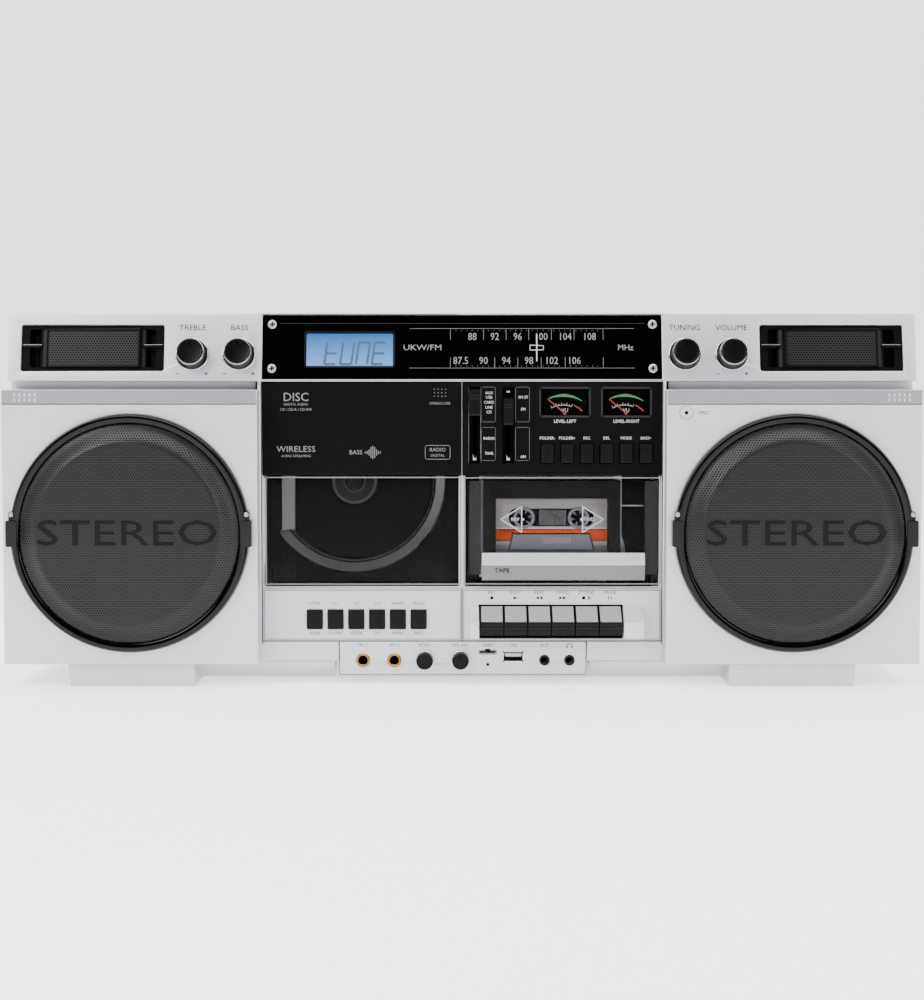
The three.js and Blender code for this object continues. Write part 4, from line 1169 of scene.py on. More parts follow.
@dataclass
class Knob:
    """One control knob on the console, with its name and end marks."""

    node: str
    label: str
    x: float
    marks: bool = True
    up: float = 20.83
    radius: float = 13.2
    height: float = 13.0

    def build(self) -> None:
        """Builds the knob and prints its label."""
        r, h = self.radius, self.height
        body = Shape(SLOPE.place).turned([(0, 0.6 - h), (0.6 * r, 0.35 - h), (0.68 * r, -h),
                (0.75 * r, 0.35 - h),
                                          (0.785 * r, 1.4 - h), (0.81 * r, -1.0), (0.81 * r, -0.4),
                                                  (0, -0.4)],
                                         self.x, self.up, 96)
        body.piece(f"{self.node}_body", SATIN_BLACK, self.node, "black_plastic", (self.node,), smooth=30)
        skirt = Shape(SLOPE.place).turned([(0.8 * r, -0.3), (0.8 * r, -1.6), (0.92 * r, -1.9),
                (0.97 * r, -1.6),
                                           (r, -1.0), (r, -0.3)], self.x, self.up, 96)
        skirt.piece(f"{self.node}_skirt", PLATE, self.node, "plated")
        lip = Shape(SLOPE.place).turned([(0.755 * r, 0.5 - h), (0.79 * r, 1.0 - h), (0.8 * r, 1.9 - h),
                                         (0.775 * r, 1.9 - h), (0.74 * r, 0.9 - h)], self.x, self.up, 96)
        lip.piece(f"{self.node}_lip", PLATE, self.node, "plated")
        mark = Shape(SLOPE.place).box((self.x - 0.45, self.x + 0.45), (0.12 - h, 0.8 - h),
                                      (self.up + 0.3 * r, self.up + 0.62 * r))
        mark.piece(f"{self.node}_mark", DEEP, self.node, "black_plastic")
        names = Shape(SLOPE.place).words(self.label, self.x, self.up + 21.2, 4.4, (-0.1, 0.1))
        if self.marks:
            for end in (-1, 1):
                x, low = self.x + end * 11.0, self.up - 15.0
                names.box((x - 1.3, x + 1.3), (-0.1, 0.1), (low - 0.3, low + 0.3))
                if end > 0:
                    names.box((x - 0.3, x + 0.3), (-0.1, 0.1), (low - 1.3, low + 1.3))
        names.piece(f"{self.node}_print", BLACK_INK, "cabinet", "silver_plastic")


# ------------------------------------------------------------------ disc bay


@dataclass
class DiscBay:
    """The disc door with its window, and the well, ring and hub behind it."""

    x: float = -84.2
    z: float = 156.5
    well_radius: float = 61.4
    ring_outer: float = 70.6
    plate_depth: float = 38.0
    floor_depth: float = 46.0
    door_x: Pair = (-154.0, -0.7)
    window_up: Pair = (77.0, 160.9)
    panel: float = 20.0

    def build(self) -> None:
        """Builds the door and what is behind it."""
        refined("cd_door", BLACK, 0.6, "cd_door", "black_plastic", 2, 1.5)
        glass = Shape(world).copied("cd_door_window")
        glass.piece("cd_door_glass", WINDOW, "cd_door", "clear_plastic", ("cd_door_window",), smooth=20)
        self.window_edges()
        self.prints()
        self.well()

    def window_edges(self) -> None:
        """Adds the window's edges as painted highlights: pale, faintly glowing strips where the clear edges catch
        the light.
        """
        low, high = self.window_up
        # Painted highlight: pale glowing strips along the window's edges.
        edge = Shape()
        edge.box((self.door_x[0] + 0.2, self.door_x[1] - 0.2), (self.panel - 0.15, self.panel + 0.6),
                (high - 1.0, high - 0.2))
        edge.box((self.door_x[0] + 0.2, self.door_x[1] - 0.2), (self.panel - 0.15, self.panel + 0.6),
                (low + 0.2, low + 1.0))
        edge.box((self.door_x[0] + 2.0, self.door_x[0] + 2.9), (self.panel - 0.15, self.panel + 0.6),
                (low, high))
        edge.box((self.door_x[1] - 1.0, self.door_x[1] - 0.2), (self.panel - 0.15, self.panel + 0.6),
                (low, high))
        edge.softened(0.15, 1)
        edge.piece("cd_door_glass_edge_highlights", EDGE, "cd_door", "clear_plastic")
        ribs = BATTENS.rows((self.x - 57, self.panel + 2.9, low + 8), (3.7, 0), (7, 1), (0.6, 0.4, 15),
                COLUMN)
        show("cd_door_ribs_left", ribs, COLUMN, "cd_door")
        ribs = BATTENS.rows((self.x + 62, self.panel + 2.9, low + 8), (3.7, 0), (7, 1), (0.6, 0.4, 15),
                COLUMN)
        show("cd_door_ribs_right", ribs, COLUMN, "cd_door")

    def prints(self) -> None:
        """Prints the generic words and marks on the black part of the door."""
        ink = (self.panel - 0.1, self.panel + 0.1)
        white = Shape()
        white.words("DISC", -128.0, 222.0, 6.4, ink, widen=1.0)
        white.words("DIGITAL AUDIO", -128.0, 216.6, 1.8, ink)
        white.words("CD / CD-R / CD-RW", -128.0, 212.6, 1.9, ink)
        for column in range(4):
            for row in range(3):
                white.disc(0.38, ink, -21.3 + 2.9 * column, 222.9 + 2.7 * row, 12)
        white.words("OPEN/CLOSE", -17.0, 217.4, 1.9, ink)
        white.words("WIRELESS", -128.0, 182.0, 4.4, ink, widen=1.1)
        white.words("AUDIO STREAMING", -128.0, 176.8, 1.8, ink)
        white.words("BASS", -82.0, 179.6, 3.3, ink)
        for i in range(9):
            tall = 4.4 * math.exp(-((i - 4) / 2.0) ** 2) + 0.7
            x = -74.6 + 1.45 * i
            white.box((x - 0.3, x + 0.3), ink, (179.6 - tall, 179.6 + tall))
        white.line(rounded((-28.4, -9.2), (174.4, 185.0), 1.5, 3), 0.4, ink, closed=True)
        white.words("RADIO", -18.8, 181.6, 2.8, ink)
        white.words("DIGITAL", -18.8, 177.2, 2.0, ink)
        white.piece("cd_door_print", DISC_INK, "cd_door", "black_plastic")

    def well(self) -> None:
        """Builds the brushed pressing round the disc, the ring's straight band and the hub."""
        dress("cd_well", DEEP)
        ring = Shape().turned([(self.well_radius, self.floor_depth),
                (self.well_radius, self.plate_depth + 2.4),
                               (self.well_radius + 2.6, self.plate_depth - 0.6),
                                       (self.ring_outer, self.plate_depth - 1.6),
                               (self.ring_outer + 0.6, self.plate_depth - 0.6),
                                       (self.ring_outer + 0.6, self.plate_depth + 0.4)],
                              self.x, self.z, 128)
        left = self.door_x[0] + 2.6
        doomed = [f for f in ring.mesh.faces if f.calc_center_median().x < -140.5 or f.calc_center_median().z > 229]
        bmesh.ops.delete(ring.mesh, geom=doomed, context="FACES")
        ring.piece("well_ring", PRESSING, "cabinet", "bare_steel")
        band = Shape().box((-140.6, -130.4), (self.plate_depth - 2.2, self.plate_depth + 0.2),
                (118.7, self.z + 40))
        band.softened(0.4, 2)
        band.piece("well_band", PRESSING, "cabinet", "bare_steel")
        seam = Shape().line([(-140.6, 116.8), (-130.2, 120.6)], 0.5,
                (self.plate_depth - 2.4, self.plate_depth - 2.0))
        seam.piece("well_seam", DEEP, "cabinet", "black_plastic")
        side = Shape().box((left, -141.0), (self.plate_depth - 1.0, self.plate_depth + 0.2), (79, 230))
        side.piece("well_side", DEEP, "cabinet", "black_plastic")
        refined("cd_turntable", SATIN_BLACK, 0.3, "cd_turntable", "black_plastic", 2, 0.4)
        hub = Shape().ring(15.2, 17.8, (self.plate_depth + 2.6, self.plate_depth + 4.2), self.x, self.z, 96)
        hub.ring(7.4, 8.4, (self.plate_depth + 0.4, self.plate_depth + 4), self.x, self.z, 64)
        hub.piece("turntable_rings", HUB, "cd_turntable", "grey_plastic")


# ------------------------------------------------------------------ controls on the right


@dataclass
class ControlPanel:
    """The black panel with two slide switches, two level meters and six buttons."""

    panel: float = 20.0
    labels: tuple[str, ...] = ("FOLDER-", "FOLDER+", "REC", "DEL", "MODE", "BASS+")
    buttons: tuple[str, ...] = ("folder_down", "folder_up", "record", "delete", "mode", "bass_boost")
    first: float = 65.9
    pitch: float = 15.2
    meters: dict[str, Pair] = field(default_factory=lambda: {"left": (60.2, 98.6), "right": (107.8, 145.7)})
    meter_up: Pair = (207.3, 229.4)
    plates: tuple[Pair, Pair] = ((203.2, 230.0), (173.4, 198.9))
    slot_up: Pair = (169.0, 231.5)

    def build(self) -> None:
        """Builds the panel and everything on it."""
        refined("control_panel", BLACK, 0.4, "cabinet", "black_plastic", 2, 3.0)
        self.sources()
        self.sliders()
        for name, x in self.meters.items():
            self.meter(name, x)
        for name in self.buttons:
            self.button(name)
        self.prints()

    def ink(self) -> Pair:
        """Returns the depth of printing on the panel."""
        return self.panel - 0.1, self.panel + 0.1

    def sliders(self) -> None:
        """Builds the two sliders and their grip lines."""
        for node in ("function_switch", "band_switch"):
            x, z, depth = span(node, 0), span(node, 2), span(node, 1)
            refined(node, SATIN_BLACK, 0.5, node, "black_plastic")
            grips = Shape()
            for up in (0.66, 0.78):
                at = z[0] + (z[1] - z[0]) * up
                grips.box((x[0] + 0.7, x[1] - 0.7), (depth[0] - 0.15, depth[0] + 0.3), (at - 0.3, at + 0.3))
            grips.box((x[0] + 0.5, x[1] - 0.5), (depth[0] - 0.12, depth[0] + 0.3), (z[0] + 0.3, z[0] + 1.0))
            grips.piece(f"{node}_grips", COLUMN, node, "black_plastic")

    def sources(self) -> None:
        """Prints the two scales beside the sliders, each as an upper and a lower plate, and lines the slots."""
        lines, words, liners = Shape(), Shape(), Shape()
        sources = {"AUX": 225.4, "USB": 222.0, "CARD": 218.1, "LINE": 214.3, "CD": 210.7, "RADIO": 190.4,
                "TAPE": 178.8}
        bands = {"FM ST": 222.0, "FM": 212.8, "AM": 176.2}
        for x, texts in (((14.8, 25.7), sources), ((41.3, 52.0), bands)):
            for z in self.plates:
                lines.line(rounded(x, z, 1.0, 3), 0.3, self.ink(), closed=True)
            for text, up in texts.items():
                words.words(text, middle(x) + 0.6, up, 2.1, self.ink(), widen=0.95)
        (foot, top), end_height, half_arm = self.slot_up, 4.4, 1.3
        for node in ("function_switch", "band_switch"):
            at = middle(span(node, 0))
            for end in (-1, 1):
                x = sorted((at + end * half_arm, at + end * 4.4))
                liners.box((x[0], x[1]), (self.panel + 3.0, self.panel + 3.35), (foot, top))
            for z in ((foot, foot + end_height), (top - end_height, top)):
                liners.box((at - half_arm, at + half_arm), (self.panel + 3.0, self.panel + 3.35), z)
        liners.piece("slider_liners", DEEP, "cabinet", "black_plastic")
        lines.piece("source_frames", DIM_INK, "cabinet", "black_plastic")
        words.piece("source_words", WHITE_INK, "cabinet", "black_plastic")

    def meter(self, name: str, x: Pair) -> None:
        """Builds one level meter's frame, face, arc, ticks and needle.

        Args:
            name: left or right.
            x: the window's extent across.
        """
        low, high = self.meter_up
        face_depth = self.panel + 2.9
        bezel = Shape()
        bezel.line(rounded(x, (low, high), 0.8, 3), 1.5, (self.panel - 0.9, self.panel + 1.0), closed=True)
        bezel.softened(0.25, 1)
        bezel.piece(f"meter_bezel_{name}", COLUMN, "cabinet", "grey_plastic")
        face = Shape().box(grown(x, -0.2), (face_depth, face_depth + 0.4), (low + 0.2, high - 0.2))
        face.piece(f"meter_face_{name}", DEEP, "cabinet", "black_plastic")
        ink = (face_depth - 0.2, face_depth)
        axis = (middle(x) - 1.2, low - 10.0)
        green = Shape().arc(*axis, 26.3, (117, 88), (0.5, 2.4), ink).arc(*axis, 26.3, (88, 57), (2.4, 0.5),
                ink)
        green.piece(f"meter_green_{name}", GREEN_INK, "cabinet", "display")
        red = Shape().arc(*axis, 20.4, (66, 44), (1.0, 1.0), ink)
        red.piece(f"meter_red_{name}", RED_INK, "cabinet", "red_plastic")
        white = Shape().arc(*axis, 18.8, (118, 70), (0.35, 0.35), ink)
        for number in range(9):
            turn = math.radians(118 - 6.0 * number)
            inner, outer = 18.8, 20.6 if number % 2 == 0 else 19.8
            white.line([(axis[0] + inner * math.cos(turn), axis[1] + inner * math.sin(turn)),
                        (axis[0] + outer * math.cos(turn), axis[1] + outer * math.sin(turn))], 0.3, ink)
        white.words("VU", middle(x), low + 4.7, 2.8, ink)
        white.piece(f"meter_print_{name}", WHITE_INK, "cabinet", "white_plastic")
        dress(f"needle_{name}", RED_INK)
        cover = Shape().box(grown(x, -0.4), (self.panel + 0.2, self.panel + 0.8), (low + 0.4, high - 0.4))
        cover.piece(f"meter_cover_{name}", WINDOW, "cabinet", "clear_plastic")

    def button(self, name: str) -> None:
        """Builds one push button with rounded edges."""
        node = f"function_button_{name}"
        refined(node, SATIN_BLACK, 0.7, node, "black_plastic", 3, 3.0)

    def prints(self) -> None:
        """Prints the button and meter names."""
        words = Shape()
        for number, label in enumerate(self.labels):
            words.words(label, self.first + self.pitch * number, 190.6, 2.2, self.ink(), widen=0.95)
        words.words("LEVEL-LEFT", middle(self.meters["left"]), 203.6, 2.4, self.ink())
        words.words("LEVEL-RIGHT", middle(self.meters["right"]), 203.6, 2.4, self.ink())
        words.piece("control_print", WHITE_INK, "cabinet", "black_plastic")


# ------------------------------------------------------------------ tape bay


@dataclass
class TapeBay:
    """The clear tape door, the cassette in it and the spindles behind."""

    panel: float = 20.0
    door: Pair = (1.1, 153.9)
    door_up: Pair = (77.2, 160.6)
    centre: float = 69.7
    hub_half: float = 21.25
    hub_up: float = 128.2
    cassette: Pair = (19.5, 119.9)
    cassette_up: Pair = (93.9, 157.7)
    cassette_front: float = 35.0
    name_bar: tuple[Pair, Pair] = ((15.5, 141.5), (80.7, 101.9))

    def build(self) -> None:
        """Builds the tape bay from the door inwards."""
        glass = Shape(world).copied("tape_door_window")
        glass.piece("tape_door_glass", WINDOW, "tape_door", "clear_plastic", ("tape_door_window",), smooth=20)
        refined("cassette_holder", BLACK, 0.4, "tape_door", "black_plastic", 2, 3.0)
        self.back_plate()
        self.door_edges()
        self.door_print()
        self.tape_cassette()
        for node in ("tape_deck_chassis", "capstan_flywheel"):
            dress(node, ZINC)
        for node in ("supply_spindle", "takeup_spindle"):
            refined(node, SATIN_BLACK, 0.25, node, "black_plastic", 2, 0.3)

    def back_plate(self) -> None:
        """Closes both bays behind with a dark sheet, so the board behind does not show."""
        sheet = Shape().box((-152, 152), (78.0, 79.0), (36, 232)).softened(0.3, 1)
        sheet.piece("bay_back_plate", DEEP, "cabinet", "black_plastic")
        # Painted highlight: a bright line inside the tape door, in the same highlight finish.
        rail_highlight = Shape()
        rail_highlight.box((self.centre + 42.0, self.centre + 70.6), (self.panel + 3.0, self.panel + 3.5),
                (137.9, 138.7))
        rail_highlight.piece("tape_door_rail_highlight", EDGE, "tape_door", "clear_plastic")

    def door_edges(self) -> None:
        """Adds the door's edges as painted highlights, its side columns and the silver name bar, whose lower face
        is painted shade.
        """
        (x0, x1), (z0, z1) = self.door, self.door_up
        # Painted highlight: pale glowing strips along the door's four edges.
        edge = Shape()
        for x in ((x0 + 0.2, x0 + 1.0), (x1 - 1.0, x1 - 0.2)):
            edge.box(x, (self.panel - 0.15, self.panel + 0.6), (z0, z1))
        for z in ((z0 + 0.2, z0 + 1.0), (z1 - 1.0, z1 - 0.2)):
            edge.box((x0, x1), (self.panel - 0.15, self.panel + 0.6), z)
        edge.softened(0.15, 1)
        edge.piece("tape_door_glass_edge_highlights", EDGE, "tape_door", "clear_plastic")
        columns = Shape()
        for x in ((5.6, 14.6), (141.8, 152.4)):
            columns.box(x, (self.panel + 3.0, self.panel + 4.4), (84.6, 157.6))
        columns.softened(0.4, 2)
        columns.piece("tape_door_columns", COLUMN, "tape_door", "black_plastic")
        (bar_x, bar_z) = self.name_bar
        fold = bar_z[0] + 0.55 * (bar_z[1] - bar_z[0])
        nose = (self.panel - 2.6, fold)
        # Painted shade: the lower face gets a darker grey than the silver upper face because it faces down.
        for part, finish, outline in (
                ("upper", FACING, [nose, (self.panel + 0.4, fold), (self.panel + 0.4, bar_z[1]),
                        (self.panel - 0.2, bar_z[1])]),
                ("lower", SHADED, [nose, (self.panel - 0.9, bar_z[0]), (self.panel + 0.4, bar_z[0]),
                        (self.panel + 0.4, fold)])):
            bar = Shape().across(outline, bar_x).softened(0.2, 2)
            bar.piece(f"tape_name_bar_{part}", finish, "tape_door", "silver_plastic")
        word = Shape().words("TAPE", 31.0, fold - 4.0, 3.6, (self.panel - 2.7, self.panel - 1.4))
        word.piece("tape_name", GREY_INK, "tape_door", "silver_plastic")

    def door_print(self) -> None:
        """Prints the two direction triangles and dots on the door."""
        ink = (self.panel - 0.1, self.panel + 0.1)
        white = Shape()
        at = 127.8
        for end, word in ((-1, "REV"), (1, "FWD")):
            apex, side = self.centre + end * 39.6, self.centre + end * 23.6
            white.line([(apex, at), (side, at + 9.9), (side, at - 9.9)], 0.7, ink, closed=True)
            white.words(word, self.centre + end * 28.6, at, 2.6, ink)
            white.disc(0.9, ink, self.centre + end * 22.6, at, 16)
        white.piece("tape_door_print", WHITE_INK, "tape_door", "clear_plastic")

    def tape_cassette(self) -> None:
        """Builds the cassette's shell, label, window, reels, ribs and trapezoid, with a painted shadow line round
        the trapezoid.
        """
        refined("cassette_shell", CASSETTE, 0.6, "tape_door", "cassette_plastic", 2, 2.0)
        (x0, x1), (z0, z1), face = self.cassette, self.cassette_up, self.cassette_front
        paper = Shape().deep(rounded((x0 + 4, x1 - 4), (z0 + 13, z1 - 3), 1.5, 4), (face - 0.25, face + 0.1))
        paper.piece("cassette_label", LABEL, "tape_door", "cassette_plastic")
        rules = Shape()
        for number in range(5):
            up = z1 - 5.4 - 2.5 * number
            rules.box((x0 + 10, x1 - 6), (face - 0.35, face), (up - 0.12, up + 0.12))
        rules.words("A", x0 + 7.2, z1 - 9.0, 3.6, (face - 0.4, face))
        rules.piece("cassette_rules", GREY_INK, "tape_door", "cassette_plastic")
        band = Shape().box((x0 + 4.2, x1 - 4.2), (face - 0.4, face), (self.hub_up - 18.2, self.hub_up - 8.8))
        band.piece("cassette_band", ORANGE, "tape_door", "cassette_plastic")
        lines = Shape()
        for up in (self.hub_up - 9.4, self.hub_up - 17.6):
            lines.box((x0 + 4.2, x1 - 4.2), (face - 0.48, face), (up - 0.45, up + 0.45))
        lines.piece("cassette_band_lines", MAROON, "tape_door", "cassette_plastic")
        Shape().words("TYPE I", x0 + 17, self.hub_up - 11.6, 4.2, (face - 0.55, face)).piece(
            "cassette_type", BLACK_INK, "tape_door", "cassette_plastic")
        words = Shape().box((x0 + 5, x1 - 5), (face - 0.5, face), (self.hub_up - 8.3, self.hub_up - 7.8))
        words.piece("cassette_words", WHITE_INK, "tape_door", "white_plastic")
        pane = Shape().deep(rounded((self.centre - 33, self.centre + 33),
                (self.hub_up - 6.6, self.hub_up + 7.2), 5.5, 6),
                            (face - 0.55, face - 0.1))
        pane.piece("cassette_pane", DEEP, "tape_door", "black_plastic")
        pack = Shape().deep(rounded((self.centre - 9.5, self.centre + 11.5),
                (self.hub_up - 5.6, self.hub_up + 6.2), 1.0, 3),
                            (face - 0.7, face - 0.4))
        pack.piece("cassette_tape", TAPE, "tape_door", "cassette_plastic")
        reels = Shape()
        for end in (-1, 1):
            reels.ring(6.0, 8.4, (face - 1.0, face - 0.3), self.centre + end * self.hub_half, self.hub_up, 48)
            for tooth in range(6):
                turn = math.radians(60 * tooth + 12)
                inner, outer = 4.4, 6.2
                x, z = self.centre + end * self.hub_half, self.hub_up
                reels.line([(x + inner * math.cos(turn), z + inner * math.sin(turn)),
                            (x + outer * math.cos(turn), z + outer * math.sin(turn))], 1.2,
                                    (face - 0.9, face - 0.3))
        reels.piece("cassette_reels", REEL, "tape_door", "cassette_plastic")
        low, top = self.hub_up - 25.0, self.hub_up - 13.0
        foot = Shape().deep([(self.centre - 32.5, low), (self.centre + 32.5, low), (self.centre + 29.5, top),
                             (self.centre - 29.5, top)], (face - 1.7, face), 1.03)
        foot.softened(0.3, 2)
        foot.piece("cassette_trapezoid", REEL, "tape_door", "cassette_plastic")
        # Painted shadow: a dark line round the raised trapezoid.
        shadow = Shape().line([(self.centre - 33.2, low), (self.centre - 30.2, top + 0.7),
                (self.centre + 30.2, top + 0.7),
                               (self.centre + 33.2, low)], 0.7, (face - 0.62, face))
        shadow.piece("cassette_trapezoid_shadow", DEEP, "tape_door", "cassette_plastic")
        ribs = BATTENS.rows((self.centre + 4, face - 1.8, top - 4.6), (1.6, 0), (14, 1), (0.6, 0.4, 5.0),
                LABEL)
        show("cassette_ribs", ribs, LABEL, "tape_door")


# ------------------------------------------------------------------ lower panels


@dataclass
class LowerPanels:
    """The two silver panels with six disc buttons and six piano keys."""

    panel: float = 20.0
    disc_buttons: tuple[str, ...] = ("stop", "previous", "play_pause", "next", "random", "program")
    above: tuple[str, ...] = ("STOP", "|<<", ">||", ">>|", "RAND", "PROG")
    below: tuple[str, ...] = ("SCAN", "DOWN", "ENTER", "UP", "MENU", "INFO")
    disc_first: float = -114.15
    disc_pitch: float = 16.1
    key_nodes: tuple[str, ...] = ("record", "play", "rewind", "forward", "stop_eject", "pause")
    key_words: tuple[str, ...] = ("REC", "PLAY", "REW", "F.FWD", "STOP/EJ", "PAUSE")
    key_first: float = 23.05
    key_pitch: float = 18.3
    key_nose: Pair = (4.2, 49.0)
    key_top: Pair = (20.0, 60.0)

    def build(self) -> None:
        """Builds both panels."""
        refined("cd_button_panel", FACING, 0.4, "cabinet", "silver_plastic", 2, 3.0)
        refined("tape_key_panel", FACING, 0.6, "cabinet", "silver_plastic", 2, 3.0)
        self.frames()
        for name in self.disc_buttons:
            node = f"cd_button_{name}"
            refined(node, SATIN_BLACK, 0.7, node, "black_plastic", 3, 3.0)
        for name in self.key_nodes:
            self.key(name)
        self.prints()

    def frames(self) -> None:
        """Draws the fine raised frame line round each panel."""
        lines = Shape()
        for x in ((-153.0, -1.4), (1.4, 153.0)):
            lines.line([(x[0], 34.8), (x[1], 34.8), (x[1], 72.6), (x[0], 72.6)], 0.4,
                    (self.panel - 0.15, self.panel + 0.1),
                       closed=True)
        lines.line([(0, 33.6), (0, 73.9)], 0.7, (self.panel - 0.12, self.panel + 1.0))
        lines.line([(-154.3, 33.3), (154.3, 33.3)], 0.5, (self.panel - 0.12, self.panel + 1.0))
        lines.piece("panel_frame_lines", GREY_INK, "cabinet", "silver_plastic")

    def key(self, name: str) -> None:
        """Builds one piano key: a black body with a pale metallised top and a ridge on its front."""
        node = f"key_{name}"
        refined(node, SATIN_BLACK, 0.4, node, "black_plastic", 2)
        x = grown(span(node, 0), -0.75)
        (nose_d, nose_z), (top_d, top_z) = self.key_nose, self.key_top
        cap = Shape().across([(nose_d + 0.7, nose_z + 0.7), (top_d - 0.4, top_z), (top_d - 0.9, top_z + 0.45),
                              (nose_d + 0.1, nose_z + 1.1)], x)
        cap.softened(0.2, 2)
        cap.piece(f"{node}_cap", KEY_CAP, node, "grey_plastic")
        ridge = Shape().box(grown(x, -0.4), (nose_d + 0.4, nose_d + 1.6), (nose_z - 4.2, nose_z - 3.6))
        ridge.piece(f"{node}_ridge", COLUMN, node, "black_plastic")

    def prints(self) -> None:
        """Prints the words and symbols over and under the buttons and keys."""
        ink = (self.panel - 0.1, self.panel + 0.1)
        words = Shape()
        for number in range(6):
            x = self.disc_first + self.disc_pitch * number
            words.words(self.above[number], x, 62.6, 2.4, ink)
            words.words(self.below[number], x, 39.4, 2.2, ink)
            words.words(self.key_words[number], self.key_first + self.key_pitch * number, 71.0, 2.4, ink)
        at = 66.9
        marks = [self.key_first + self.key_pitch * number for number in range(6)]
        words.disc(1.3, ink, marks[0], at, 24)
        words.deep([(marks[1] - 1.4, at - 1.3), (marks[1] + 1.6, at), (marks[1] - 1.4, at + 1.3)], ink)
        for shift in (-2.6, 0.2):
            words.deep([(marks[2] + shift + 2.6, at - 1.3), (marks[2] + shift + 2.6, at + 1.3),
                    (marks[2] + shift, at)], ink)
            words.deep([(marks[3] + shift, at - 1.3), (marks[3] + shift + 2.6, at),
                    (marks[3] + shift, at + 1.3)], ink)
        words.box((marks[4] - 3.2, marks[4] - 0.8), ink, (at - 1.2, at + 1.2))
        words.deep([(marks[4] + 0.8, at - 0.3), (marks[4] + 3.6, at - 0.3), (marks[4] + 2.2, at + 1.4)], ink)
        words.box((marks[4] + 0.8, marks[4] + 3.6), ink, (at - 1.2, at - 0.7))
        for shift in (-1.0, 1.0):
            words.box((marks[5] + shift - 0.35, marks[5] + shift + 0.35), ink, (at - 1.3, at + 1.3))
        words.piece("panel_print", BLACK_INK, "cabinet", "silver_plastic")


